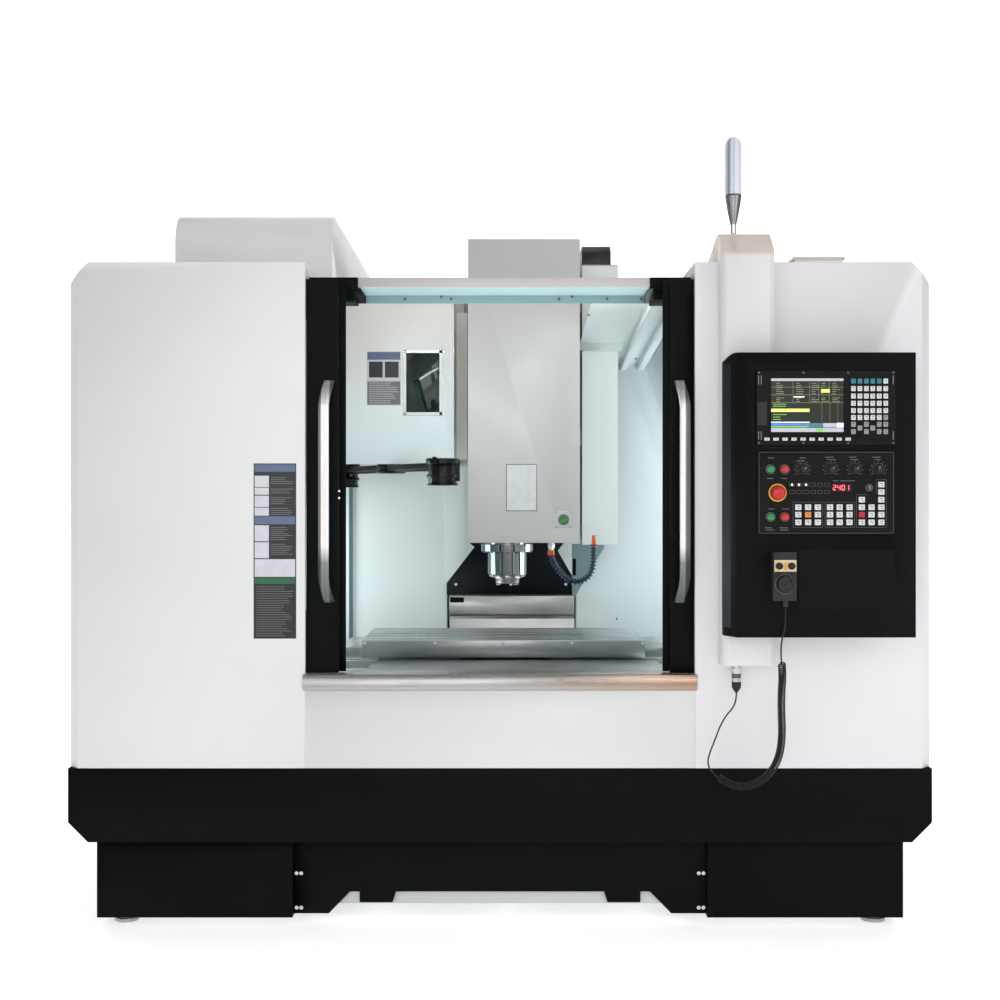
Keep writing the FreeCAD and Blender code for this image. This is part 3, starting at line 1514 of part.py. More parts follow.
def least_gap(path):
    """The least distance between neighbouring turns of a wound path, on sampled points."""
    per_turn = 16
    samples = path.discretize(Number=per_turn * coil_turns)
    gap = 1e9
    for i, sample in enumerate(samples):
        for other in samples[i + per_turn // 2:i + 2 * per_turn]:
            gap = min(gap, sample.distanceToPoint(other))
    return gap


def cord_coil():
    """The curly stretch: one unbroken wire wound along a smooth hanging line."""
    poles = [at(*point) for point in coil_route]
    lead_in = (poles[1] - poles[0]).normalize() * coil_radius / 2
    lead_out = (poles[-1] - poles[-2]).normalize() * coil_radius / 2
    poles = ([poles[0], poles[0] + lead_in, poles[0] + lead_in * 2] + poles[1:-1]
             + [poles[-1] - lead_out * 2, poles[-1] - lead_out, poles[-1]])
    spans = len(poles) - 2
    line = Part.BSplineCurve()
    line.buildFromPolesMultsKnots(poles, [3] + [1] * (spans - 1) + [3],
                                  [float(i) for i in range(spans + 1)], False, 2)
    length = line.length()
    wind = coil_radius - cord_radius
    steps = 2 * coil_turns
    fade = 2
    straight = 2 * cord_radius
    wound = length - 2 * straight
    points = []
    ways = []
    side = V(0, 1, 0)
    for i in range(steps + 1):
        spot = line.parameterAtDistance(straight + i / steps * wound, line.FirstParameter)
        along = V(*line.tangent(spot)[0])
        side = (side - along * side.dot(along)).normalize()
        cross = along.cross(side)
        swell = min(i, steps - i, fade) / fade
        angle = math.pi * i
        out = side * math.cos(angle) + cross * math.sin(angle)
        around_way = cross * math.cos(angle) - side * math.sin(angle)
        points.append(line.value(spot) + out * (wind * swell))
        turn_rate = 2 * math.pi * coil_turns / wound * wind * swell
        ways.append((along + around_way * turn_rate).normalize())
    edges = [Part.LineSegment(poles[0], points[0]).toShape()]
    for i in range(steps):
        edges += arc_pair(points[i], ways[i], points[i + 1], ways[i + 1])
    edges.append(Part.LineSegment(points[-1], poles[-1]).toShape())
    path = Part.Wire(edges)
    ring = Part.Wire([Part.makeCircle(cord_radius, poles[0], poles[1] - poles[0])])
    coil = path.makePipeShell([ring], True, False)
    gap = least_gap(path) - 2 * cord_radius
    print("coil wire", round(path.Length), "along", round(length), "least gap", round(gap, 2),
          "volume share", round(coil.Volume / (math.pi * cord_radius ** 2 * path.Length), 4))
    return coil


def cord_plug():
    """The round connector under the duct's foot, with its boot."""
    top = pendant_foot
    shell_foot = top - plug_length * 0.6
    profile = [(0, top - plug_length), (cord_radius + 2, top - plug_length),
               (plug_radius - 3, shell_foot), (plug_radius, shell_foot),
               (plug_radius, top - 20), (plug_radius + 2, top - 20), (plug_radius + 2, top),
               (0, top)]
    return turned(profile, plug_x, plug_depth)


def signal_lamp():
    """The lamp on its stem and cone, with a rounded clear lens."""
    edge = lamp_round * (1 - math.sqrt(0.5))
    stem = upright(lamp_x, lamp_depth, (pendant_ridge, lamp_cone_bottom), lamp_stem)
    cone = turned([(0, lamp_cone_bottom), (lamp_stem + 1, lamp_cone_bottom),
                   (lamp_radius - 6, lamp_cone_bottom + 40), (lamp_radius, lamp_lens_bottom - 6),
                   (lamp_radius, lamp_lens_bottom), (0, lamp_lens_bottom)], lamp_x, lamp_depth)
    lens = turned([(0, lamp_lens_bottom), (lamp_radius, lamp_lens_bottom),
                   (lamp_radius, lamp_top - lamp_round),
                   (lamp_radius - edge, lamp_top - edge),
                   (lamp_radius - lamp_round, lamp_top), (0, lamp_top)], lamp_x, lamp_depth)
    return fuse(stem, cone, lens)


parts = {
    "machine_bed": machine_bed(),
    "levelling_feet": levelling_feet(),
    "plinth": plinth(),
    "base_skirt": base_skirt(),
    "left_housing": left_housing(),
    "right_housing": right_housing(),
    "front_apron": front_apron(),
    "door_sill": door_sill(),
    "header_beam": header_beam(),
    "rail_brackets": rail_brackets(),
    "splash_guard": splash_guard(),
    "column_apron": column_apron(),
    "fixed_way_covers": fixed_way_covers(),
    "column": column(),
    "saddle": saddle(),
    "saddle_way_covers": saddle_way_covers(),
    "work_table": work_table(),
    "table_way_covers": table_way_covers(),
    "spindle_head": spindle_head(),
    "spindle_cartridge": spindle_cartridge(),
    "spindle": spindle(),
    "spindle_motor": spindle_motor(),
    "head_cover": head_cover(),
    "tool_release_button": release_button(),
    "coolant_hose": coolant_hose(),
    "magazine_cover": magazine_cover(),
    "magazine_guard": magazine_guard(),
    "magazine_window": magazine_window(),
    "changer_drive_box": changer_drive_box(),
    "changer_quill": changer_quill(),
    "changer_arm": changer_arm(),
    "magazine_disc": magazine_disc(),
    "electrical_cabinet": electrical_cabinet(),
    "cabinet_door": cabinet_door(),
    "pendant_duct": pendant_duct(),
    "control_box": control_box(),
    "display_unit": display_unit(),
    "switch_panel": switch_panel(),
    "e_stop_button": stop_button(),
    "handwheel_unit": handwheel_unit(),
    "handwheel_dial": handwheel_dial(),
    "cord_upper": tube_along(upper_route, cord_radius),
    "cord_coil": cord_coil(),
    "cord_lower": tube_along(lower_route, cord_radius),
    "cord_plug": cord_plug(),
    "signal_lamp": signal_lamp(),
}
door_pieces = {"door": door_leaf(), "door_window": door_window(), "door_handle": door_handle()}
for piece, shape in door_pieces.items():
    parts["left_" + piece] = shape
    parts["right_" + piece] = flipped(shape, door_meet)
for name, x, z, radius in round_buttons():
    parts[name] = push_button(x, z, radius)
for name, x in knob_places():
    parts[name] = selector_knob(x)

os.makedirs("parts", exist_ok=True)
for name, shape in parts.items():
    shape.exportStep("parts/" + name + ".step")
print(len(parts), "pieces")
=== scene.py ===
import bpy
import bmesh
import math
from mathutils import Matrix, Vector


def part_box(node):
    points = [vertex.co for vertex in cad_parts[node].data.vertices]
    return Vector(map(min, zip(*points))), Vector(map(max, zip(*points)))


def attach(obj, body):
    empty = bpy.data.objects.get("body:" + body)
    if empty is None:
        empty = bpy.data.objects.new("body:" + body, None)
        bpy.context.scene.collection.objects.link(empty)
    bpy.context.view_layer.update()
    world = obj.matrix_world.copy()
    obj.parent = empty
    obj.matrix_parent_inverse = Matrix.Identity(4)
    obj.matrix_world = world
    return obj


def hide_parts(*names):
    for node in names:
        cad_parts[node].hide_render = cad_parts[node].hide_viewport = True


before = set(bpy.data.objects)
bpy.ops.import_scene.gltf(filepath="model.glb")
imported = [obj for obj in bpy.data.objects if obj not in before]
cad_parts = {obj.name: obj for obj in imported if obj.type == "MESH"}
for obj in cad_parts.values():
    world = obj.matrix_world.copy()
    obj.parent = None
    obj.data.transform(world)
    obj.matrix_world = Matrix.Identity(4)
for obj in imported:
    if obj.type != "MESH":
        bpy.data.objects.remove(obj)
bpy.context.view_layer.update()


# The room: a pale floor in a bright, even studio. The eye is level with the work area, 4.5 m in front
# of the housings, as the photograph was taken.

EYE_HEIGHT = 1.295
EYE_DISTANCE = 4.5
LENS = 53.86
SENSOR = 36.0
SIGHT = 60.0
SKY_TOP = 0.26
SKY_EDGE = 0.40
FLOOR_HALF = 14.0
FLOOR_GLOW = 0.60
BACKDROP_Y = 9.0
BACKDROP_GLOW = 0.8
WHITE = (1.0, 1.0, 1.0)
FLOOR_COLOUR = (0.90, 0.90, 0.90)
NOISE_RANGE = (0.3, 0.7)
SHADER = "Principled BSDF"
front_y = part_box("left_housing")[0].y


def placed(name, data):
    """A new object in the scene that holds some data."""
    piece = bpy.data.objects.new(name, data)
    bpy.context.collection.objects.link(piece)
    return piece


def feed(node, values):
    """Gives a node's inputs their values, or links them to other nodes' outputs."""
    for slot, value in values.items():
        if isinstance(value, bpy.types.NodeSocket):
            node.id_data.links.new(value, node.inputs[slot])
        else:
            node.inputs[slot].default_value = value
    return node


def add_node(tree, kind, values, **settings):
    """A new node of a tree, with its settings and its inputs."""
    node = tree.nodes.new(kind)
    for label, setting in settings.items():
        setattr(node, label, setting)
    return feed(node, values)


def spread(tree, source, near, far, low=0.0, high=1.0):
    """A value between two limits, spread over the range between two others."""
    values = {"Value": source, "From Min": near, "From Max": far, "To Min": low, "To Max": high}
    return add_node(tree, "ShaderNodeMapRange", values).outputs["Result"]


def at(x, depth, z):
    """The point at a place across, a depth behind the housings' front and a height, in millimetres."""
    return Vector((x / 1000, front_y + depth / 1000, z / 1000))


def softbox(name, place, aim, size, power, tint=WHITE):
    """A rectangular lamp at a place, turned to face a point."""
    lamp = bpy.data.lights.new(name, "AREA")
    lamp.shape = "RECTANGLE"
    lamp.size, lamp.size_y = size
    lamp.energy = power
    lamp.color = tint
    stand = placed(name, lamp)
    stand.location = at(*place)
    stand.rotation_euler = (at(*aim) - at(*place)).to_track_quat("-Z", "Y").to_euler()
    return stand


def shape(name, mesh):
    """A new object at the origin, from a bmesh whose places are already in the part's frame."""
    data = bpy.data.meshes.new(name)
    mesh.to_mesh(data)
    mesh.free()
    return placed(name, data)


def shade(finish, values):
    """Sets inputs of a finish's shader, or links them."""
    feed(finish.node_tree.nodes[SHADER], values)


def start_finish(name, colour, roughness, metal=0.0, gloss=0.5):
    """A new finish whose even settings sit on the shader itself."""
    finish = bpy.data.materials.new(name)
    finish.use_nodes = True
    finish.diffuse_color = (*colour, 1.0)
    shade(finish, {"Base Color": (*colour, 1.0), "Roughness": roughness, "Metallic": metal,
                   "Specular IOR Level": gloss})
    return finish


def glow(finish, colour, strength):
    """Lets a finish give off some light of its own."""
    shade(finish, {"Emission Color": (*colour, 1.0), "Emission Strength": strength})


def spot(finish):
    """Where a spot of the surface lies in the part's frame."""
    return add_node(finish.node_tree, "ShaderNodeTexCoord", {}).outputs["Object"]


def grain(finish, cell, stretch=(1.0, 1.0, 1.0), detail=2.0):
    """A noise output whose cells are so many metres across, stretched along the axes."""
    scales = [1.0 / (cell * share) for share in stretch]
    sized = add_node(finish.node_tree, "ShaderNodeMapping", {"Vector": spot(finish), "Scale": scales})
    values = {"Vector": sized.outputs["Vector"], "Scale": 1.0, "Detail": detail}
    return add_node(finish.node_tree, "ShaderNodeTexNoise", values).outputs["Fac"]


def ramp(finish, source, stops):
    """The colour along a share or a noise, from pairs of a place and a colour."""
    node = add_node(finish.node_tree, "ShaderNodeValToRGB", {"Fac": source})
    elements = node.color_ramp.elements
    while len(elements) < len(stops):
        elements.new(0.5)
    for element, (place, colour) in zip(elements, stops):
        element.position = place
        element.color = (*colour, 1.0)
    return node.outputs["Color"]


def tone(finish, source, colours, limits=NOISE_RANGE):
    """Spreads a noise or a share between two colours on the shader's base colour."""
    shade(finish, {"Base Color": ramp(finish, source, list(zip(limits, colours)))})


def sheen_range(finish, source, low, high):
    """Spreads a noise between two roughnesses."""
    shade(finish, {"Roughness": spread(finish.node_tree, source, *NOISE_RANGE, low, high)})


def relief(finish, source, height):
    """Raises the surface by a noise, to a height in metres."""
    bump = add_node(finish.node_tree, "ShaderNodeBump",
                    {"Height": source, "Strength": 1.0, "Distance": height})
    shade(finish, {"Normal": bump.outputs["Normal"]})


def shades(colour, low, high):
    """A darker and a lighter shade of a colour."""
    return [tuple(low * part for part in colour), tuple(high * part for part in colour)]


def studio_sheet(name, finish, place):
    """A wide square sheet of the studio, under or behind the part."""
    mesh = bmesh.new()
    bmesh.ops.create_grid(mesh, x_segments=1, y_segments=1, size=FLOOR_HALF, matrix=place)
    sheet = shape(name, mesh)
    sheet.data.materials.append(finish)


eye = bpy.data.cameras.new("eye")
eye.lens = LENS
eye.sensor_width = SENSOR
eye.clip_end = SIGHT
eye_stand = placed("eye", eye)
eye_stand.location = (0.0, front_y - EYE_DISTANCE, EYE_HEIGHT)
eye_stand.rotation_euler = (math.radians(90), 0.0, 0.0)
bpy.context.scene.camera = eye_stand
bpy.context.scene.view_settings.view_transform = "Standard"

sky = bpy.data.worlds.new("studio")
sky.use_nodes = True
look = add_node(sky.node_tree, "ShaderNodeNewGeometry", {}).outputs["Incoming"]
height = add_node(sky.node_tree, "ShaderNodeSeparateXYZ", {"Vector": look}).outputs["Z"]
fade = spread(sky.node_tree, height, -1.0, 0.0, SKY_TOP, SKY_EDGE)
feed(sky.node_tree.nodes["Background"], {"Color": (*WHITE, 1.0), "Strength": fade})
bpy.context.scene.world = sky

softbox("front_softbox", (-2600, -4000, 2400), (0, 0, 1100), (3.0, 2.4), 29.0)
softbox("side_softbox", (3400, -3000, 2400), (700, 0, 1600), (2.4, 2.4), 43.0, (1.0, 0.985, 1.01))
softbox("eye_softbox", (200, -4400, 2000), (100, 500, 1300), (3.0, 2.0), 38.0)
header_lamp = softbox("header_lamp", (12, 305, 1912), (12, 1000, 1100), (0.9, 0.05), 2.0, (0.88, 0.98, 1.0))
header_lamp.visible_camera = False
softbox("top_softbox", (0, 900, 5200), (0, 900, 0), (4.0, 4.0), 36.0)
softbox("left_lamp", (-990, 1050, 1080), (1000, 900, 1200), (0.8, 0.6), 8.0, (0.90, 0.98, 1.0))
softbox("right_lamp", (990, 1050, 1200), (-1000, 900, 1250), (0.8, 0.8), 8.0, (0.84, 0.97, 1.0))

floor_finish = start_finish("pale_floor", FLOOR_COLOUR, 0.6, gloss=0.2)
glow(floor_finish, WHITE, FLOOR_GLOW)
tone(floor_finish, grain(floor_finish, 1.5), shades(FLOOR_COLOUR, 0.995, 1.005))
studio_sheet("floor", floor_finish, Matrix())
backdrop_finish = start_finish("white_backdrop", WHITE, 1.0, gloss=0.0)
glow(backdrop_finish, WHITE, BACKDROP_GLOW)
stood_up = Matrix.Translation((0, BACKDROP_Y, 0)) @ Matrix.Rotation(math.radians(90), 4, "X")
studio_sheet("backdrop", backdrop_finish, stood_up)


# The base: a black sheet-metal belt and plinth in fine textured powder coat, bolted round the bed's
# outriggers, on screw feet of dark steel.

BELT_BLACK = (0.0032, 0.0042, 0.0046)
PEEL = 0.0009
TONE_PATCH = 0.45
SHEEN_PATCH = 0.09
SHARP_FROM = 35.0
EASED_FROM = 30.0
FLAT_WITHIN = 1.0
MERGED_WITHIN = 0.00001
SEED = 7
FRONT = (0, -1, 0)
UP = (0, 0, 1)
DOWN = (0, 0, -1)
ORIGIN = Vector((0.0, 0.0, 0.0))


def powder_coat(name, colour, roughness=0.42, gloss=0.5, texture=0.00006):
    """Baked powder paint: fine orange peel, with a slow change of tone and sheen over a panel."""
    finish = start_finish(name, colour, roughness, gloss=gloss)
    tone(finish, grain(finish, TONE_PATCH), shades(colour, 0.975, 1.02))
    sheen_range(finish, grain(finish, SHEEN_PATCH), roughness - 0.05, roughness + 0.06)
    relief(finish, grain(finish, PEEL), texture)
    return finish


def baked(piece):
    """A mesh of a piece as it stands, with its modifiers worked out."""
    bpy.context.view_layer.update()
    return bpy.data.meshes.new_from_object(piece.evaluated_get(bpy.context.evaluated_depsgraph_get()))


def settle(piece, finish):
    """Bakes a piece's modifiers into its mesh and gives it one finish."""
    mesh = baked(piece)
    piece.modifiers.clear()
    piece.data = mesh
    mesh.materials.clear()
    mesh.materials.append(finish)
    mesh.polygons.foreach_set("use_smooth", [True] * len(mesh.polygons))
    mesh.set_sharp_from_angle(angle=math.radians(SHARP_FROM))


def made(name, mesh, finish, body="machine", ease=0.0, steps=2, stands_for=()):
    """A finished piece from a bmesh: its edges are eased, and it rides on a body."""
    bmesh.ops.recalc_face_normals(mesh, faces=mesh.faces)
    piece = shape(name, mesh)
    if ease:
        bevel = piece.modifiers.new("ease", "BEVEL")
        bevel.width = ease
        bevel.segments = steps
        bevel.limit_method = "ANGLE"
        bevel.angle_limit = math.radians(EASED_FROM)
        bevel.harden_normals = True
    settle(piece, finish)
    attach(piece, body)
    if stands_for:
        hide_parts(*stands_for)
    return piece


def dressed(node, name, finish, ease=0.0012, steps=2, body="machine"):
    """A merged copy of a solid with its edges eased by a small radius, which then stands for it."""
    mesh = bmesh.new()
    mesh.from_mesh(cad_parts[node].data)
    bmesh.ops.remove_doubles(mesh, verts=mesh.verts, dist=MERGED_WITHIN)
    bmesh.ops.dissolve_limit(mesh, angle_limit=math.radians(FLAT_WITHIN), verts=mesh.verts,
                             edges=mesh.edges)
    made(name, mesh, finish, body, ease, steps, (node,))


def add_bar(mesh, place, size):
    """Adds a straight-sided block of a size in metres, its middle set by a matrix."""
    bmesh.ops.create_cube(mesh, size=1.0, matrix=place @ Matrix.Diagonal((*size, 1.0)))


def add_block(mesh, x, depth, z):
    """Adds a straight-sided block between pairs of limits, in millimetres."""
    low = at(x[0], depth[0], z[0])
    high = at(x[1], depth[1], z[1])
    add_bar(mesh, Matrix.Translation((low + high) / 2), high - low)


def draw_out(mesh, ends):
    """Adds a solid between two like rings of places."""
    near, far = [[mesh.verts.new(place) for place in ring] for ring in ends]
    for i in range(len(near)):
        j = (i + 1) % len(near)
        mesh.faces.new((near[i], near[j], far[j], far[i]))
    mesh.faces.new(near)
    mesh.faces.new(far[::-1])


def add_prism(mesh, outline, limits, axes="YZX"):
    """Adds an outline drawn out between limits: the axes are those of its two numbers and of the limits."""
    order = [axes.index(axis) for axis in "XYZ"]
    draw_out(mesh, [[at(*[(*pair, limit)[i] for i in order]) for pair in outline] for limit in limits])


def add_turned(mesh, centre, axis, profile, sides=64, flutes=None, hexes=()):
    """Adds a turned form from radii and distances along an axis, in millimetres."""
    along = Vector(axis)
    across = along.orthogonal().normalized()
    other = along.cross(across)
    rings = []
    for number, (radius, reach) in enumerate(profile):
        middle = centre + along * (reach / 1000)
        ring = []
        for i in range(sides if radius else 1):
            turn = 2 * math.pi * i / sides
            length = radius / 1000
            if number in hexes:
                length *= math.cos(math.pi / 6) / math.cos(turn % (math.pi / 3) - math.pi / 6)
            if flutes and number in flutes[2]:
                length += flutes[1] / 1000 * math.cos(flutes[0] * turn)
            aside = across * math.cos(turn) + other * math.sin(turn)
            ring.append(mesh.verts.new(middle + aside * length))
        rings.append(ring)
    for near, far in zip(rings, rings[1:]):
        for i in range(max(len(near), len(far))):
            j = (i + 1) % max(len(near), len(far))
            corners = [near[i % len(near)], near[j % len(near)], far[j % len(far)], far[i % len(far)]]
            mesh.faces.new(list(dict.fromkeys(corners)))


def turned(name, centre, axis, profile, finish, body="machine", stands_for=(), sides=64, flutes=None):
    """A turned piece, such as a knob, cap or sleeve."""
    mesh = bmesh.new()
    add_turned(mesh, centre, axis, profile, sides, flutes)
    return made(name, mesh, finish, body, stands_for=stands_for)


def start_tree(name, sockets):
    """A new node tree and the outputs of its named inputs."""
    tree = bpy.data.node_groups.new(name, "GeometryNodeTree")
    for label, kind in sockets.items():
        tree.interface.new_socket(label, in_out="INPUT", socket_type="NodeSocket" + kind)
    tree.interface.new_socket("Geometry", in_out="OUTPUT", socket_type="NodeSocketGeometry")
    return tree, tree.nodes.new("NodeGroupInput").outputs


def end_tree(tree, spots, finish):
    """Ends a tree: what it sets on points is made real and gets its finish."""
    copies = add_node(tree, "GeometryNodeInstanceOnPoints", spots).outputs["Instances"]
    real = add_node(tree, "GeometryNodeRealizeInstances", {"Geometry": copies}).outputs["Geometry"]
    painted = add_node(tree, "GeometryNodeSetMaterial", {"Geometry": real, "Material": finish})
    add_node(tree, "NodeGroupOutput", {"Geometry": painted.outputs["Geometry"]})
    return tree


def set_out_tree():
    """Puts a seed piece on every point of a mesh, each at a size between two limits."""
    tree, given = start_tree("set_out", {"Points": "Geometry", "Seed": "Object", "Least Size": "Vector",
                                         "Most Size": "Vector", "Finish": "Material"})
    seed = add_node(tree, "GeometryNodeObjectInfo", {"Object": given["Seed"]}).outputs["Geometry"]
    limits = {"Min": given["Least Size"], "Max": given["Most Size"], "Seed": SEED}
    size = add_node(tree, "FunctionNodeRandomValue", limits, data_type="FLOAT_VECTOR").outputs["Value"]
    return end_tree(tree, {"Points": given["Points"], "Instance": seed, "Scale": size}, given["Finish"])


set_out = set_out_tree()


def grow(piece, tree, values):
    """Adds a node tree to a piece and sets its named inputs by their identifiers."""
    growth = piece.modifiers.new("growth", "NODES")
    growth.node_group = tree
    for item in tree.interface.items_tree:
        if item.in_out == "INPUT" and item.name in values:
            growth[item.identifier] = values[item.name]


def grown(name, places, tree, values, finish, body):
    """A piece that a tree grows on places, baked and riding on a body."""
    mesh = bmesh.new()
    for place in places:
        mesh.verts.new(place)
    piece = shape(name, mesh)
    grow(piece, tree, {**values, "Finish": finish})
    settle(piece, finish)
    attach(piece, body)


def repeated(name, seed_mesh, places, finish, body="machine", least=1.0):
    """Copies of a seed piece at places, joined in one piece, some shorter down to a least share."""
    bmesh.ops.recalc_face_normals(seed_mesh, faces=seed_mesh.faces)
    seed = shape(name + "_seed", seed_mesh)
    grown(name, places, set_out, {"Seed": seed, "Least Size": (least, 1.0, 1.0),
                                  "Most Size": (1.0, 1.0, 1.0)},
          finish, body)
    bpy.data.objects.remove(seed)


def screws(name, radius, height, places, finish, body="machine", axis=FRONT):
    """Socket-head screws with a chamfered head and a hexagonal socket."""
    mesh = bmesh.new()
    add_turned(mesh, ORIGIN, axis, [(0, -0.5), (radius, -0.5), (radius, 0.72 * height),
                                    (0.84 * radius, height), (0.55 * radius, height),
                                    (0.5 * radius, 0.35 * height), (0, 0.35 * height)],
               sides=24, hexes=(4, 5))
    repeated(name, mesh, places, finish, body)


def polished(name, colour, roughness, stretch=(1.0, 1.0, 1.0), cell=0.003):
    """Bare or chromed metal, with fine marks that break its shine."""
    finish = start_finish(name, colour, roughness, metal=1.0)
    tone(finish, grain(finish, 0.05), shades(colour, 0.94, 1.04))
    sheen_range(finish, grain(finish, cell, stretch), 0.75 * roughness, 1.3 * roughness)
    return finish


belt_paint = powder_coat("black_belt_paint", BELT_BLACK, 0.5, 0.06, 0.00012)
dressed("base_skirt", "belt", belt_paint, 0.0014)
dressed("plinth", "plinth_boxes", belt_paint, 0.0014)
foot_steel = polished("foot_steel", (0.42, 0.42, 0.43), 0.3, (1.0, 1.0, 0.1))
dark_steel = polished("dark_steel", (0.12, 0.12, 0.125), 0.35)
bright_steel = polished("bright_steel", (0.60, 0.60, 0.61), 0.22)
dressed("levelling_feet", "feet", foot_steel, 0.0008)
screws("plinth_screws", 6.5, 5.0, [at(x, 42.0, z) for x in (-617, -603, 603, 617) for z in (59, 163)],
       bright_steel)


# The castings: bed, saddle, column, head and changer gearbox. They are iron, cast in sand with broad
# rounded edges and painted a pale grey, and everything else is bolted to them.

casting_paint = powder_coat("casting_paint", (0.60, 0.62, 0.62), 0.5, 0.35, 0.0004)
for casting in ("machine_bed", "column", "changer_drive_box"):
    dressed(casting, casting + "_casting", casting_paint, 0.003)
dressed("saddle", "saddle_casting", casting_paint, 0.003, body="saddle_unit")
dressed("spindle_head", "head_casting", casting_paint, 0.003, body="head_unit")


# The lining of the work area: folded white sheets round the table and over it, and the trays under it.
# A dark strip of painted shadow stands for the groove where two sheets meet, and black screws hold the roof
# and the rear wall.

LINING_WHITE = (0.74, 0.785, 0.785)
PROUD = 0.3
WALL = 1545


def fields(name, face, thickness, areas, finish, body="machine"):
    """Flat printed or lit fields, a fraction of a millimetre proud of a face."""
    mesh = bmesh.new()
    for x, z in areas:
        add_block(mesh, x, (face - thickness, face + PROUD), z)
    made(name, mesh, finish, body)


lining_paint = powder_coat("lining_paint", LINING_WHITE, 0.36, 0.45)
dressed("splash_guard", "lining", lining_paint)
# The seam: a dark strip of painted shadow along the groove between two wall sheets.
seam_shadow = powder_coat("seam_shadow", (0.10, 0.15, 0.15), 0.5, 0.2)
fields("wall_seam", WALL, 0.5, [((-610, -594), (640, 1430))], seam_shadow)
screws("roof_screws", 5.0, 4.0, [at(538, 1412, 1855), at(580, 1331, 1862), at(575, 880, 1899),
                                 at(301, 577, 1924)],
       dark_steel, axis=DOWN)
screws("wall_screws", 4.0, 2.6, [at(471, WALL - 1, z) for z in (640, 815, 1180, 1420)], dark_steel)


# Way covers, sill and table: stainless sheet brushed along its length, over the ways and along the door
# opening, and a ground iron table whose own cover is held by five screws.

BRUSH_STRETCH = 60.0


def brushed_sheet(name, colour, along="X", roughness=0.36):
    """Stainless sheet with a brushed grain along one axis."""
    finish = start_finish(name, colour, roughness, metal=1.0)
    lines = grain(finish, 0.0011, [BRUSH_STRETCH if axis == along else 1.0 for axis in "XYZ"], 3.0)
    tone(finish, grain(finish, 0.16), shades(colour, 0.88, 1.08))
    sheen_range(finish, lines, roughness - 0.09, roughness + 0.12)
    relief(finish, lines, 0.00003)
    return finish


def across(finish, left, right, axis="X"):
    """How far a spot lies between two places across the machine, or along another axis."""
    parts = add_node(finish.node_tree, "ShaderNodeSeparateXYZ", {"Vector": spot(finish)})
    return spread(finish.node_tree, parts.outputs[axis], left / 1000, right / 1000)


def plastic(name, colour, roughness=0.4, gloss=0.5, cell=0.0006, height=0.00002):
    """Moulded plastic or enamel with a fine spark-eroded texture."""
    finish = start_finish(name, colour, roughness, gloss=gloss)
    tone(finish, grain(finish, 0.03), shades(colour, 0.94, 1.05))
    sheen_range(finish, grain(finish, 0.004), roughness - 0.06, roughness + 0.08)
    relief(finish, grain(finish, cell), height)
    return finish


stainless_x = brushed_sheet("stainless_x", (0.49, 0.49, 0.485))
cover_steel = brushed_sheet("cover_steel", (0.45, 0.46, 0.465), roughness=0.38)
table_iron = brushed_sheet("table_iron", (0.46, 0.475, 0.48))
sill_steel_and_reflection = brushed_sheet("sill_steel_and_reflection", (0.60, 0.58, 0.56), roughness=0.3)
# The sill turns from grey at the left to tan at the right: a painted reflection on the steel.
tone(sill_steel_and_reflection, across(sill_steel_and_reflection, -600, 700), [(0.41, 0.41, 0.405), (0.42, 0.29, 0.205)], (0.45, 0.9))
dressed("door_sill", "sill", sill_steel_and_reflection)
dressed("fixed_way_covers", "fixed_covers", stainless_x)
dressed("saddle_way_covers", "saddle_covers", stainless_x, body="saddle_unit")
dressed("table_way_covers", "table_covers", cover_steel, body="table_unit")
dressed("work_table", "table", table_iron, body="table_unit")
zinc_and_edge_highlight = plastic("zinc_and_edge_highlight", (0.72, 0.74, 0.74), 0.25, 0.7)
screws("table_cover_screws", 5.4, 3.2, [at(x, 777.8, 790) for x in (-477, -230, 10, 254, 502)], zinc_and_edge_highlight,
       "table_unit")
# A bright strip along the top edge of the table's cover: a painted highlight.
fields("table_cover_edge", 778, 0.4, [((-486, 512), (797.2, 799.6))], zinc_and_edge_highlight, "table_unit")
screws("table_top_screws", 5.0, 2.0,
       [at(x, depth, 801) for x, depth in ((-285, 870), (-265, 975), (300, 900), (316, 1010))],
       bright_steel, "table_unit", UP)
fields("rear_cover_slot", 1440, 0.3, [((-198, -143), (888, 909))], belt_paint)


# The column's front plate: black sheet with slanted shoulders, behind the spindle, and beside it a dark
# patch on the wall, painted shade that stands for a recess.

plate_paint = powder_coat("plate_paint", (0.0065, 0.0080, 0.0100), 0.45, 0.1, 0.0001)
dressed("column_apron", "column_plate", plate_paint)
screws("column_plate_screws", 6.0, 3.5, [at(x, 1548.2, 954) for x in (-178, 44, 266)], bright_steel)
# A flat dark plate on the lining beside the column: painted shade in place of a recess.
recess_shade_paint = powder_coat("recess_shade_paint", (0.20, 0.27, 0.265), 0.45, 0.3)
mesh = bmesh.new()
add_prism(mesh, [(291, 885), (420, 1102), (420, 1118), (291, 1118)], (WALL - 0.8, WALL - 0.2), "XZY")
made("wall_recess", mesh, recess_shade_paint)
fields("panel_slot", WALL - 1.2, 0.4, [((293.5, 307), (990, 1058))], belt_paint)


# The head's cover: a folded sheet box with the hose duct beside it, and the tool-release button in its
# plate low on the right.

HEAD_FACE = 870
RELEASE_X = 228
RELEASE_Z = 1225
RELEASE_PITCH = 26
housing_paint = powder_coat("housing_paint", (0.72, 0.735, 0.725), 0.34)
cover_paint = powder_coat("cover_paint", (0.585, 0.58, 0.565), 0.34)
dressed("head_cover", "head_cover_sheet", cover_paint, body="head_unit")
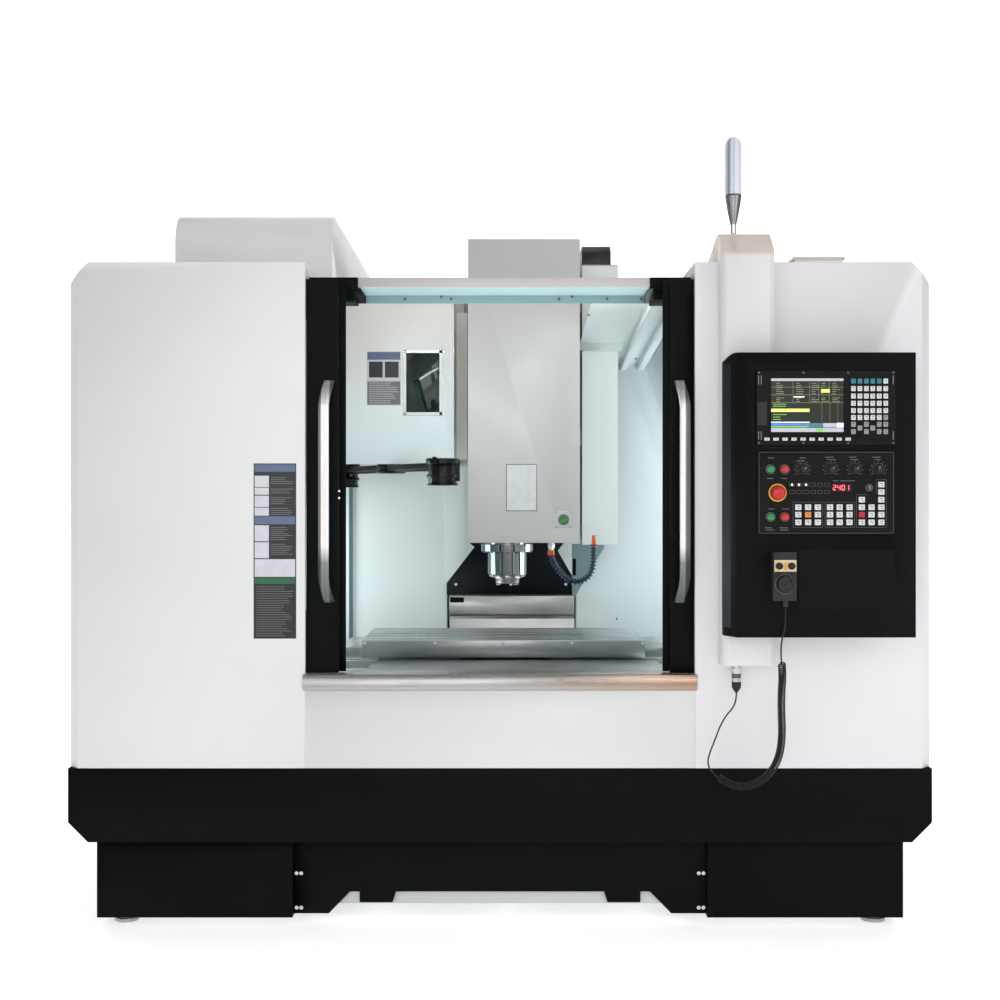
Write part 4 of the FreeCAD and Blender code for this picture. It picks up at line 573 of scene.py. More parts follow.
# The duct's face: a brighter sheet that glows a little, painted light where the duct stands lit.
duct_lit_paint = powder_coat("duct_lit_paint", (0.84, 0.875, 0.865), 0.34)
glow(duct_lit_paint, (0.9, 1.0, 1.0), 0.05)
fields("duct_face", 1100, 0.4, [((308, 441), (1128, 2170))], duct_lit_paint, "head_unit")
black_plastic = plastic("black_plastic", (0.010, 0.010, 0.011), 0.42, 0.35)
green_plastic = plastic("green_plastic", (0.012, 0.22, 0.055), 0.25)
red_plastic = plastic("red_plastic", (0.52, 0.012, 0.014), 0.28)


def button_profile(radius, thickness):
    """A push button's cap: straight sides, a rounded rim and a slightly dished face."""
    return [(0, 0), (radius, 0), (radius, 0.62 * thickness), (0.95 * radius, 0.86 * thickness),
            (0.84 * radius, thickness), (0.72 * radius, 0.94 * thickness), (0, 0.84 * thickness)]


turned("release_cap", at(RELEASE_X, HEAD_FACE - 6.5, RELEASE_Z), FRONT, button_profile(13.5, 8),
       green_plastic, "tool_release_button_body", ("tool_release_button",))
turned("release_bezel", at(RELEASE_X, HEAD_FACE - 2, RELEASE_Z), FRONT,
       [(16, 0), (19, 0), (19, 3), (17.5, 4), (16, 4), (16, 0)], dark_steel, "head_unit")
screws("release_screws", 3.0, 1.6,
       [at(RELEASE_X + x, HEAD_FACE - 0.6, RELEASE_Z + z) for x in (-RELEASE_PITCH, RELEASE_PITCH)
        for z in (-RELEASE_PITCH, RELEASE_PITCH)], dark_steel, "head_unit")
badge_blue = plastic("badge_blue", (0.030, 0.085, 0.13))
badge_white = plastic("badge_white", (0.74, 0.75, 0.75))
BADGE = (22, 133, 1255, 1424)


def frame_lines(left, right, low, high, line=0.8):
    """The four sides of a thin printed frame."""
    return [((left, right), (low, low + line)), ((left, right), (high - line, high)),
            ((left, left + line), (low, high)), ((right - line, right), (low, high))]


fields("badge_plate", HEAD_FACE, 0.6, [(BADGE[:2], BADGE[2:])], badge_white, "head_unit")
fields("badge_frame", HEAD_FACE, 0.8, frame_lines(*BADGE, 2.4), badge_blue, "head_unit")


# The spindle: a chromed sleeve and flange, each with a ring of cap screws, the stepped nose with its drive
# keys and taper, and the motor over the head. Upright streaks stand for what the chrome mirrors.

SPINDLE_X = 27
SPINDLE_DEPTH = 1031
SPINDLE = at(SPINDLE_X, SPINDLE_DEPTH, 0)
STREAKS = ((0.00, 0.30), (0.20, 0.07), (0.29, 0.85), (0.335, 0.10), (0.38, 0.14), (0.415, 0.90),
           (0.445, 0.05), (0.47, 0.80), (0.50, 1.00), (0.53, 0.70), (0.555, 0.05), (0.60, 0.80),
           (0.64, 0.10), (0.69, 0.60), (0.76, 0.05), (0.88, 0.55), (1.00, 0.30))


def reflection_bands(finish, source, stops, light, dark):
    """Painted reflection as bands from a light to a dark tint along a share: each stop gives its place and
    its lightness.
    """
    bands = ramp(finish, source, [(place, [share * a + (1 - share) * b for a, b in zip(light, dark)])
                                  for place, share in stops])
    shade(finish, {"Base Color": bands})
    return bands


def turn_share(finish, centre):
    """The share of a turn at which a spot lies round an upright axis."""
    tree = finish.node_tree
    apart = add_node(tree, "ShaderNodeVectorMath", {0: spot(finish), 1: centre}, operation="SUBTRACT")
    parts = add_node(tree, "ShaderNodeSeparateXYZ", {"Vector": apart.outputs["Vector"]}).outputs
    turn = add_node(tree, "ShaderNodeMath", {0: parts["X"], 1: parts["Y"]}, operation="ARCTAN2")
    return spread(tree, turn.outputs["Value"], -math.pi, math.pi)


def screw_ring(name, radius, height, reach, z, finish):
    """Twelve screws in a ring round the spindle, their heads down."""
    turns = [math.radians(30 * number) for number in range(12)]
    places = [at(SPINDLE_X + reach * math.cos(turn), SPINDLE_DEPTH + reach * math.sin(turn), z)
              for turn in turns]
    screws(name, radius, height, places, finish, "head_unit", DOWN)


chrome = polished("chrome", (0.48, 0.50, 0.51), 0.07, (1.0, 1.0, 0.08), 0.002)
reflection_bands(chrome, turn_share(chrome, SPINDLE), STREAKS, (0.94, 0.94, 0.93), (0.02, 0.05, 0.06))
nose_steel = polished("nose_steel", (0.36, 0.37, 0.38), 0.2, (1.0, 1.0, 0.1))
turned("spindle_sleeve", SPINDLE, UP,
       [(50.1, 1018), (67.7, 1018), (71.7, 1022), (71.7, 1106), (95, 1106), (96, 1107), (96, 1132),
        (95, 1133), (69.9, 1133), (69.9, 1500), (50.1, 1500), (50.1, 1018)], chrome, "head_unit",
        ("spindle_cartridge",), 128)
mesh = bmesh.new()
add_turned(mesh, SPINDLE, UP,
           [(22.2, 988), (43, 988), (44, 989), (44, 1006), (49, 1006), (50, 1007), (50, 1017), (44, 1017),
            (44, 1560), (8.5, 1560), (8.5, 1056), (12.3, 1056), (22.2, 988)], 96)
for left, right in ((-41, -23), (23, 41)):
    add_block(mesh, (SPINDLE_X + left, SPINDLE_X + right), (1023, 1039), (981, 989))
made("spindle_nose", mesh, nose_steel, "spindle_unit", 0.0006, stands_for=("spindle",))
screw_ring("flange_screws", 5.5, 6.0, 84, 1106, dark_steel)
screw_ring("sleeve_screws", 5.0, 7.0, 59, 1018, bright_steel)
motor_paint = powder_coat("motor_paint", (0.016, 0.017, 0.018), 0.4, 0.4)
dressed("spindle_motor", "spindle_motor_case", motor_paint, 0.002, body="head_unit")


# The coolant hose: blue ball-jointed plastic links from a steel nipple under the cover, with an orange
# ring and nozzle.

LINKS = 27
HOSE_DEPTH = 950
HOSE_FOOT = at(186, HOSE_DEPTH, 1111)
hose_blue = plastic("hose_blue", (0.005, 0.032, 0.070), 0.2, 0.8)
hose_orange = plastic("hose_orange", (0.80, 0.13, 0.02), 0.35)
hose_route = [(x, HOSE_DEPTH, z) for x, z in ((186, 1100), (186, 1086), (201, 1056), (234, 1012),
                                              (272, 994), (311, 1004), (335, 1034), (342, 1078),
                                              (342, 1131))]


def strand(name, route, steps=12):
    """A smooth line whose control points are a route's places, in millimetres."""
    line = bpy.data.curves.new(name, "CURVE")
    line.dimensions = "3D"
    line.resolution_u = steps
    path = line.splines.new("NURBS")
    path.points.add(len(route) - 1)
    for point, place in zip(path.points, route):
        point.co = (*at(*place), 1.0)
    path.order_u = 3
    path.use_endpoint_u = True
    return placed(name, line)


def link_tree():
    """Sets a turned link at even steps along a curve, its axis along the curve."""
    tree, given = start_tree("hose_links", {"Route": "Geometry", "Link": "Object", "Count": "Int",
                                            "Finish": "Material"})
    route = {"Curve": given["Route"], "Count": given["Count"]}
    steps = add_node(tree, "GeometryNodeCurveToPoints", route).outputs
    link = add_node(tree, "GeometryNodeObjectInfo", {"Object": given["Link"]}).outputs["Geometry"]
    spots = {"Points": steps["Points"], "Rotation": steps["Rotation"], "Instance": link}
    return end_tree(tree, spots, given["Finish"])


mesh = bmesh.new()
add_turned(mesh, ORIGIN, UP, [(0, -6.6), (6.4, -6.6), (6.6, -4.4), (11.4, -3.2), (12.8, -0.6), (12.0, 1.6),
                              (7.0, 2.9), (6.4, 6.6), (0, 6.6)], sides=24)
bmesh.ops.recalc_face_normals(mesh, faces=mesh.faces)
link_seed = shape("hose_link_seed", mesh)
line = strand("coolant_hose_line", hose_route)
grow(line, link_tree(), {"Link": link_seed, "Count": LINKS, "Finish": hose_blue})
hose = placed("coolant_hose_links", baked(line))
bpy.data.objects.remove(line)
bpy.data.objects.remove(link_seed)
settle(hose, hose_blue)
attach(hose, "head_unit")
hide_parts("coolant_hose")
turned("hose_nozzle", at(342, HOSE_DEPTH, 1131), UP,
       [(0, -5), (10.5, -5), (10.5, 2), (8.5, 6), (7.6, 20), (6.2, 34), (5.6, 36), (3.4, 36), (3.2, 30),
        (0, 30)],
       hose_orange, "head_unit", sides=32)
turned("hose_ring", HOSE_FOOT, DOWN,
       [(0, -1), (11, -1), (12.5, 0.5), (12.5, 8), (13.6, 9), (13.6, 14), (12, 16.5), (0, 16.5)],
       hose_orange, "head_unit", sides=32)
turned("hose_nipple", HOSE_FOOT, UP,
       [(10.2, -1), (10.2, 8), (14.0, 8), (14.0, 22), (12.6, 23), (12.6, 30), (0, 30)], bright_steel,
       "head_unit", sides=6)


# The tool magazine: its white cover outside, the guard inside the work area with its window, the disc of
# pots, and the changer's quill and double-ended arm with an open claw and four screws at each end.

GUARD_FACE = 960
PANE_FACE = 956
ARM_REACH = 423
ARM_BORE = 33
ARM_TURN = -61
ARM_TOP = 1438
ARM_ROOT = ARM_REACH - 40
RIB_ROOT = ARM_REACH - 60
BORE_SIDES = [math.radians(angle) for angle in range(-222, 43, 12)]
CLAW_CORNERS = ((0.52, 0.90), (0.92, 0.50), (1.0, 0.0), (0.82, -0.62), (0.26, -0.96), (-0.44, -0.90),
                (-1.04, -0.42), (-1.04, 0.42), (-0.52, 0.90))


def claw(outer):
    """The plan of a gripper's jaw: open at one side for a tool holder, and round inside."""
    bore = [(ARM_REACH + ARM_BORE * math.cos(angle), ARM_BORE * math.sin(angle)) for angle in BORE_SIDES]
    return bore + [(ARM_REACH + outer * x, outer * y) for x, y in CLAW_CORNERS]


hump_paint = powder_coat("hump_paint", (0.78, 0.775, 0.78), 0.36, 0.4)
dressed("magazine_cover", "magazine_cover_sheet", hump_paint, 0.002)
clear_frame = plastic("clear_frame", (0.76, 0.78, 0.78), 0.12)
guard_light_and_shade_paint = powder_coat("guard_light_and_shade_paint", LINING_WHITE, 0.36, 0.45)
# The guard is painted lighter and bluer low down and darker and warmer higher up: painted light and shade.
tone(guard_light_and_shade_paint, across(guard_light_and_shade_paint, 1500, 1950, "Z"), [(0.80, 0.89, 0.90), (0.78, 0.76, 0.72)],
     (0.1, 0.9))
dressed("magazine_guard", "magazine_guard_sheet", guard_light_and_shade_paint)
# A pale sheet that glows a little in the gap beside the guard: painted light where the column behind shows
# lit.
return_glow_paint = powder_coat("return_glow_paint", (0.66, 0.67, 0.62), 0.45, 0.3)
glow(return_glow_paint, (1.0, 1.0, 0.94), 0.16)
fields("guard_return", 1300, 1.5, [((-168, -127), (1452, 2020))], return_glow_paint)
fields("guard_edge", GUARD_FACE, 0.4, [((-171, -168.4), (1480, 1985))], clear_frame)
smoked_glass = start_finish("smoked_glass", (0.010, 0.018, 0.014), 0.06, gloss=0.6)
sheen_range(smoked_glass, grain(smoked_glass, 0.03), 0.04, 0.12)
tone(smoked_glass, grain(smoked_glass, 0.09, detail=3.0), [(0.006, 0.010, 0.009), (0.016, 0.040, 0.026)])
dressed("magazine_window", "magazine_pane", smoked_glass, 0.0008)
fields("window_frame", PANE_FACE, 0.8, frame_lines(-353, -211, 1605, 1841, 10), clear_frame)
screws("window_screws", 3.0, 2.0,
       [at(x, depth, z) for x, depth in ((-350, PANE_FACE - 0.6), (-206, GUARD_FACE)) for z in (1610, 1722,
                                                                                                1836)],
       bright_steel)
arm_steel = polished("arm_steel", (0.030, 0.030, 0.032), 0.36)
pot_plastic = plastic("pot_plastic", (0.02, 0.02, 0.022))
dressed("magazine_disc", "tool_disc", pot_plastic, 0.0008, body="tool_wheel")
dressed("changer_quill", "quill", bright_steel, 0.0008, body="changer_ram")
middle = at(0, 0, 0)
arm_place = Matrix.Translation(at(-404, 1031, 0)) @ Matrix.Rotation(math.radians(ARM_TURN), 4, "Z")
arm_place = arm_place @ Matrix.Translation(-middle)
mesh = bmesh.new()
for turn in (0.0, math.pi):
    before = set(mesh.verts)
    for outline, limits in (([(0, -34), (ARM_ROOT, -22), (ARM_ROOT, 22), (0, 34)], (1402, 1424)),
                            ([(60, -14), (RIB_ROOT, -12), (RIB_ROOT, 12), (60, 14)], (1396, 1402)),
                            (claw(57), (1419, ARM_TOP)), (claw(48), (1352, 1419)), (claw(54), (1372, 1384)),
                            (claw(52), (1345, 1352))):
        add_prism(mesh, outline, limits, "XYZ")
    add_turned(mesh, at(ARM_REACH - 62, 0, 0), UP, [(0, 1386), (9, 1386), (9, 1444), (7, 1446), (0, 1446)],
               24)
    for side in (-1, 1):
        outline = [(ARM_REACH + side * x, y) for x, y in ((22, 30), (22, 54), (36, 50), (38, 30))]
        add_prism(mesh, outline, (1360, 1430), "XYZ")
    added = [vert for vert in mesh.verts if vert not in before]
    bmesh.ops.rotate(mesh, verts=added, cent=middle, matrix=Matrix.Rotation(turn, 3, "Z"))
add_turned(mesh, middle, UP, [(0, 1393), (52, 1393), (55, 1396), (55, 1402), (50, 1404), (50, 1432),
                              (44, 1440), (20, 1440), (20, 1509), (0, 1509)])
bmesh.ops.transform(mesh, matrix=arm_place, verts=mesh.verts)
made("tool_arm", mesh, arm_steel, "changer_beam", 0.0012, stands_for=("changer_arm",))
places = [arm_place @ at(way * (ARM_REACH + x), way * y, ARM_TOP)
          for pair in (((40, -30), (-42, -32)), ((-42, 32), (0, -44))) for way in (-1, 1) for x, y in pair]
screws("arm_screws", 5.5, 4.0, places, bright_steel, "changer_beam", UP)


# The housings, apron, pendant and header: folded sheet steel, powder coated in off-white. The header has
# black brackets for the door rail, a gusset at each end and a row of screws in its lip.

# The right housing gets a slightly purple copy of the housing paint: a painted tint of the light on that
# side.
right_housing_light_tint = powder_coat("right_housing_light_tint", (0.745, 0.735, 0.755), 0.34)
for node, finish in (("left_housing", housing_paint), ("right_housing", right_housing_light_tint),
                     ("front_apron", housing_paint)):
    dressed(node, node + "_sheet", finish, 0.0016)
pendant_paint_shaded_top = powder_coat("pendant_paint_shaded_top", (0.735, 0.72, 0.70), 0.36, 0.4)
# The pendant's top, from 2005 mm up, is painted darker and warmer: painted shade on its roof.
tone(pendant_paint_shaded_top, across(pendant_paint_shaded_top, 2005, 2035, "Z"), [(0.735, 0.725, 0.72), (0.72, 0.64, 0.57)],
     (0.2, 0.6))
dressed("pendant_duct", "pendant_duct_sheet", pendant_paint_shaded_top, 0.0016)
HEADER_LIP = 289
HEADER_SPAN = (-436, 460)
header_paint = powder_coat("header_paint", (0.56, 0.545, 0.54), 0.36, 0.4)
dressed("header_beam", "header_sheet", header_paint)
dressed("rail_brackets", "brackets", belt_paint)
# The lip's face is painted darker and bluer than the header: painted shade tinted by the work area's light.
lip_shade_paint = powder_coat("lip_shade_paint", (0.27, 0.42, 0.44), 0.36, 0.4)
fields("header_lip_face", HEADER_LIP, 0.4, [(HEADER_SPAN, (1924.5, 1949.5))], lip_shade_paint)
# The web's underside is painted pale cyan and glows a little: painted light from the work area.
web_lit_paint = powder_coat("web_lit_paint", (0.66, 0.88, 0.90), 0.36, 0.4)
glow(web_lit_paint, (0.55, 0.9, 1.0), 0.14)
mesh = bmesh.new()
add_block(mesh, HEADER_SPAN, (103.5, HEADER_LIP - 0.5), (1949.5, 1950.2))
made("header_web_face", mesh, web_lit_paint)
screws("header_screws", 4.2, 2.6,
       [at(x, HEADER_LIP - 0.5, 1938) for x in (-304, -157, 189, 343, 452)]
       + [at(x, HEADER_LIP - 0.5, 1946) for x in (-188, 231)], dark_steel)
for name, limits, finish in (("left_gusset", (-560, -428), belt_paint),
                             ("right_gusset", (459, 560), dark_steel)):
    mesh = bmesh.new()
    add_prism(mesh, [(97, 1945.5), (285, 1945.5), (285, 1923)], limits)
    made(name, mesh, finish, ease=0.0008)


# The plates on the left housing and the guard: plain ruled charts, printed on black film, with blank
# cells and rows.

chart_black = plastic("chart_black", (0.011, 0.012, 0.014), 0.35)
chart_pale = plastic("chart_pale", (0.60, 0.60, 0.66))
chart_rule = plastic("chart_rule", (0.16, 0.16, 0.17), 0.45)
chart_slate = plastic("chart_slate", (0.10, 0.14, 0.24))
chart_green = plastic("chart_green", (0.012, 0.12, 0.04))
CHART = (-738, -616)
GUARD_CHART = (-484, -364)
PRINT = 0.25


def rows(name, width, height, least, places, finish):
    """Printed or lit rows, each from its place to the right, some shorter down to a least share."""
    mesh = bmesh.new()
    add_bar(mesh, Matrix.Translation((width / 2000, 0, 0)), (width / 1000, PRINT / 1000, height / 1000))
    repeated(name, mesh, places, finish, least=least)


fields("chart_film", 0, 0.4, [((-741, -613), (878, 1405))], chart_black)
cells = ((1334, 1368), (1311, 1332), (1274, 1308), (1248, 1272), (1171, 1219), (1120, 1168))
fields("chart_cells", -0.4, 0.3, [((-738, -695), z) for z in cells] + [(CHART, (1064, 1117))], chart_pale)
fields("chart_heads", -0.4, 0.3, [(CHART, (1380, 1402)), (CHART, (1222, 1246))], chart_slate)
fields("chart_foot", -0.4, 0.3, [(CHART, (1043, 1061))], chart_green)
tops = ((1362, 4), (1328, 3), (1302, 4), (1270, 4), (1212, 7), (1162, 6))
rows("chart_rows", 68, 1.8, 0.45,
     [at(-689, -0.5, z) for top, count in tops for z in range(top, top - 6 * count, -6)], chart_rule)
rows("chart_lines", 112, 1.6, 0.6, [at(-733, -0.5, z) for z in range(1034, 884, -7)], chart_rule)
fields("guard_chart", GUARD_FACE, 0.4, [((-486, -362), (1640, 1837))], chart_pale)
fields("guard_chart_head", GUARD_FACE - 0.4, 0.3, [(GUARD_CHART, (1807, 1835))], chart_slate)
fields("guard_chart_foot", GUARD_FACE - 0.4, 0.3, [(GUARD_CHART, (1643, 1728))], chart_rule)
fields("guard_chart_cells", GUARD_FACE - 0.4, 0.3, [(x, (1742, 1800)) for x in ((-478, -428),
                                                                                (-420, -370))],
       chart_black)
rows("guard_chart_rows", 106, 2.0, 0.6, [at(-478, GUARD_FACE - 0.7, z) for z in range(1722, 1646, -8)],
     chart_pale)


# The doors: black sheet frames on top hangers, each with a clear pane and a bowed stainless handle, whose
# bands of painted reflection, light and dark, stand for what it mirrors of the room.

HANDLE_REFLECTION_ACROSS = ((0.0, 0.05), (0.14, 0.10), (0.24, 0.95), (0.42, 0.90), (0.55, 0.72), (0.68, 0.98),
                (0.84, 0.85), (0.94, 0.10))
HANDLE_REFLECTION_ALONG = ((0.03, 0.35), (0.10, 0.85), (0.18, 1.0), (0.62, 1.0), (0.74, 1.0), (0.82, 0.22),
                 (0.97, 0.10))
HANDLE_METAL = 0.25


def deepened_by_reflection(finish, colour, source, stops, light, dark):
    """Deepens a colour by bands of painted reflection along another share."""
    values = {"Factor": 1.0, 6: colour, 7: reflection_bands(finish, source, stops, light, dark)}
    mix = add_node(finish.node_tree, "ShaderNodeMix", values, data_type="RGBA", blend_type="MULTIPLY")
    shade(finish, {"Base Color": mix.outputs[2]})


door_paint = powder_coat("door_paint", (0.0030, 0.0038, 0.0042), 0.4, 0.06)
handle_steels = {}
for side, left, right in (("left", -543.5, -509.5), ("right", 563.5, 527.5)):
    steel = brushed_sheet(side + "_handle_steel", (0.8, 0.78, 0.76), "Z", 0.26)
    shade(steel, {"Metallic": HANDLE_METAL})
    # The handle's colour: painted reflection, in bands across it and darkening towards its ends.
    sides = reflection_bands(steel, across(steel, left, right), HANDLE_REFLECTION_ACROSS, (1.0, 0.95, 0.92), (0.10, 0.10, 0.10))
    deepened_by_reflection(steel, sides, across(steel, 1657, 984, "Z"), HANDLE_REFLECTION_ALONG, WHITE, (0.02, 0.06, 0.05))
    handle_steels[side] = steel
pane_glass = start_finish("pane_glass", (0.92, 0.97, 0.96), 0.03)
shade(pane_glass, {"Transmission Weight": 1.0, "IOR": 1.45})
sheen_range(pane_glass, grain(pane_glass, 0.05), 0.02, 0.06)
for side in ("left", "right"):
    leaf = side + "_leaf"
    dressed(side + "_door", side + "_leaf_frame", door_paint, body=leaf)
    dressed(side + "_door_window", side + "_pane", pane_glass, 0.0, body=leaf)
    dressed(side + "_door_handle", side + "_handle", handle_steels[side], 0.0030, 3, leaf)
screws("stile_screws", 3.6, 2.4, [at(-487, 30, z) for z in (1301, 1322)], bright_steel, "left_leaf")


# The electrical cabinet on the column's back: a folded box in the housings' white, and its louvred door,
# which hangs on two hinges and shuts with three turning locks.

CABINET_BACK = 2318


def louvres(name, width, away, places, body="machine"):
    """Pressed louvres: wedges that stand out at their foot, on a face that looks back or to a side."""
    mesh = bmesh.new()
    draw_out(mesh, [[Vector((end, reach, z) if away == "back" else (away * reach, end, z)) / 1000
                     for reach, z in ((0, 5), (7, -5), (0, -5))] for end in (-width / 2, width / 2)])
    repeated(name, mesh, places, louvre_paint, body)


dressed("electrical_cabinet", "cabinet_box", housing_paint)
dressed("cabinet_door", "cabinet_leaf_sheet", housing_paint, body="cabinet_leaf")
louvre_paint = powder_coat("louvre_paint", (0.60, 0.615, 0.605), 0.34)
louvres("cabinet_louvres", 190, "back",
        [at(x, CABINET_BACK, z) for x in (-270, 335) for bank in (760, 1700) for z in range(bank,
                                                                                            bank + 170,
                                                                                            17)],
        "cabinet_leaf")
latch_black = plastic("latch_black", (0.012, 0.012, 0.013))
for number, z in enumerate((900, 1300, 1700), 1):
    turned("cabinet_lock_%d" % number, at(-540, CABINET_BACK, z), (0, 1, 0),
           [(0, 0), (15, 0), (15, 2), (13, 4), (9, 4), (8, 9), (0, 9)], latch_black, "cabinet_leaf",
           sides=32)


# The service panels on the housings' sides: a flanged sheet each, held by quarter-turn latches, with a
# bank of louvres under it, and the lid of the junction box.

SIDE = 1300
LATCH_FACE = SIDE + 2
for side, hand in ((-1, "left"), (1, "right")):
    mesh = bmesh.new()
    add_block(mesh, sorted((side * (SIDE - 1), side * LATCH_FACE)), (330, 1230), (760, 1760))
    made(hand + "_service_panel", mesh, housing_paint, ease=0.0012)
    louvres(hand + "_louvres", 240, side, [at(side * SIDE, depth, z) for depth in (560, 1000)
                                           for z in range(560, 700, 17)])
    screws(hand + "_panel_screws", 6.0, 3.0, [at(side * LATCH_FACE, depth, z) for depth in (350, 780, 1210)
                                              for z in (780, 1740)], bright_steel, axis=(side, 0, 0))
    for number, z in enumerate((1060, 1460), 1):
        turned("%s_latch_%d" % (hand, number), at(side * LATCH_FACE, 372, z), (side, 0, 0),
               [(0, 0), (17, 0), (17, 2), (15, 4), (8, 4), (7, 8), (0, 8)], latch_black, sides=32)
lid_tan = powder_coat("lid_tan", (0.66, 0.60, 0.50), 0.4, 0.4)
mesh = bmesh.new()
add_block(mesh, (899.4, 1057.6), (84.4, 195.6), (2032.5, 2040.6))
made("junction_lid", mesh, lid_tan, ease=0.001)


# The control panel: a black casing on the white pendant, with the display and its keys above, the
# switch panel in the middle and the handwheel unit below.

DISPLAY = -201.0
SWITCHES = -199.0
GLASS = DISPLAY + 2.0
SCREEN = (779.5, 987.5, 1490.5, 1644.5)
KEY_NARROWS = 0.88
KEY_EASE = 0.0006


def glowing(name, colour, strength, cell=0.004):
    """A lit part of a screen: its light varies a little from spot to spot."""
    finish = start_finish(name, colour, 0.3, gloss=0.4)
    light = ramp(finish, grain(finish, cell), list(zip(NOISE_RANGE, shades(colour, 0.85, 1.1))))
    shade(finish, {"Emission Strength": strength, "Emission Color": light})
    return finish


def on_screen(left, right, low, high):
    """Limits of an area given as shares of the screen's width and height."""
    x, far_x, z, far_z = SCREEN
    return ((x + left * (far_x - x), x + right * (far_x - x)),
            (z + low * (far_z - z), z + high * (far_z - z)))


def key_seed(width, height, thickness):
    """A key: a block that narrows to its face, with eased edges."""
    mesh = bmesh.new()
    add_bar(mesh, Matrix.Translation((0, -thickness / 2000, 0)),
            (width / 1000, thickness / 1000, height / 1000))
    for vert in mesh.verts:
        if vert.co.y < -thickness / 2000:
            vert.co.x *= KEY_NARROWS
            vert.co.z *= KEY_NARROWS
    bmesh.ops.bevel(mesh, geom=mesh.edges[:], offset=KEY_EASE, segments=2, affect="EDGES")
    return mesh


def legend_seed(width, height):
    """A key's mark: two short dark bars, as a plain legend."""
    mesh = bmesh.new()
    for x, z, wide in ((0, 0.16 * height, 0.42 * width), (0.08 * width, -0.16 * height, 0.26 * width)):
        add_bar(mesh, Matrix.Translation((x / 1000, 0, z / 1000)),
                (wide / 1000, 0.0003, 0.11 * height / 1000))
    return mesh


def keys(name, places, face, width, height, thickness, finish):
    """Keycaps at places on a face, each with a plain legend."""
    repeated(name, key_seed(width, height, thickness), [at(x, face, z) for x, z in places], finish)
    repeated(name + "_legends", legend_seed(width, height), [at(x, face - thickness, z) for x, z in places],
             legend_ink)


casing_paint = powder_coat("casing_paint", (0.0044, 0.0049, 0.0056), 0.44, 0.06, 0.0001)
panel_film = plastic("panel_film", (0.0080, 0.0082, 0.0088), 0.5, 0.10, 0.0004)
dressed("control_box", "control_casing", casing_paint, 0.002, 3)
dressed("display_unit", "display_frame", panel_film, 0.001)
dressed("switch_panel", "switch_plate", panel_film, 0.001)
blank_film = plastic("blank_film", (0.0026, 0.0032, 0.0034), 0.4, 0.1)
fields("blank_plate", -195, 0.8, [((860, 1136), (976, 1151))], blank_film)
# A lighter, bluer strip on the casing's bevel: a painted highlight where the bevel faces the light.
bevel_highlight_paint = powder_coat("bevel_highlight_paint", (0.0075, 0.0105, 0.0140), 0.42, 0.15, 0.0001)
mesh = bmesh.new()
add_prism(mesh, [(652.6, -131), (669.0, -164), (669.4, -163.6), (653.2, -130.6)], (925, 1690), "XYZ")
made("casing_bevel", mesh, bevel_highlight_paint)

screen = {}
for name, light, colour, strength, proud, areas in (
        ("back", "dark", (0.006, 0.009, 0.004), 0.4, 0.3, [(0, 1, 0, 1)]),
        ("bar", "grey", (0.33, 0.33, 0.38), 0.8, 0.6,
         [(0, 1, 0.952, 1), (0, 1, 0.0, 0.075), (0.52, 0.9, 0.085, 0.165)]),
        ("rules", "line", (0.20, 0.22, 0.12), 0.6, 0.5, [(0, 1, z, z + 0.006) for z in (0.69, 0.545, 0.835)]
         + [(x, x + 0.004, 0.545, 0.95) for x in (0.30, 0.53, 0.655, 0.80)]
         + [(x, x + 0.003, 0.18, 0.545) for x in (0.70, 0.81, 0.92)]),
        ("entry", "yellow", (0.62, 0.60, 0.14), 0.9, 0.6,
         [(0, 0.53, 0.375, 0.435), (0.69, 0.81, 0.735, 0.80)]),
        ("state", "blue", (0.06, 0.15, 0.42), 0.9, 0.6, [(0, 0.50, 0.115, 0.165)]),
        ("cells", "teal", (0.05, 0.22, 0.26), 0.8, 0.6, [(0.50, 0.72, 0.085, 0.165)]),
        ("keys", "green", (0.14, 0.40, 0.05), 0.8, 0.7, [(0, 0.50, 0.085, 0.11),
                                                         (0.62, 0.72, 0.01, 0.065)]),
        ("boxes", "white", (0.72, 0.74, 0.78), 0.9, 0.7,
         [(0.905, 1, 0.085, 0.17), (0, 0.53, 0.172, 0.19), (0.31, 0.46, 0.645, 0.665)])):
    screen[light] = glowing("screen_" + light, colour, strength)
    fields("screen_" + name, GLASS, proud, [on_screen(*area) for area in areas], screen[light])
heights = (88, 93, 98, 110, 116, 122, 128, 134, 140)
rows("screen_rows", 24, 1.5, 0.2,
     [at(SCREEN[0] + x, GLASS - 0.3, SCREEN[2] + z) for x in (14, 72, 116, 144, 176) for z in heights],
     screen["line"])
rows("screen_program", 40, 1.8, 0.25,
     [at(SCREEN[0] + 5, GLASS - 0.3, SCREEN[2] + z) for z in (36, 43, 50, 74, 80)], screen["green"])

white_key = plastic("white_key", (0.66, 0.67, 0.68))
grey_key = plastic("grey_key", (0.28, 0.29, 0.30))
teal_key = plastic("teal_key", (0.025, 0.20, 0.28))
orange_key = plastic("orange_key", (0.70, 0.27, 0.05))
legend_ink = plastic("legend_ink", (0.035, 0.035, 0.04), 0.5)
COLUMNS = (1015.3, 1033.9, 1052.6, 1070.7, 1089.4, 1108.1)
ROWS = (1636.7, 1615.1, 1593.6, 1572.9, 1551.9, 1532.1, 1512.3, 1491.6)
ARROWS = (ROWS[6] + ROWS[7]) / 2
teal_places = [(x, ROWS[0]) for x in COLUMNS[:5]]
white_places = [(COLUMNS[5], ROWS[0])] + [(x, z) for z in ROWS[1:5] for x in COLUMNS]
white_places += [(x, ROWS[5]) for x in COLUMNS[:5]]
grey_places = [(COLUMNS[5], ROWS[5])]
grey_places += [(x, z) for z in ROWS[6:] for x in (COLUMNS[0], COLUMNS[2], *COLUMNS[4:])]
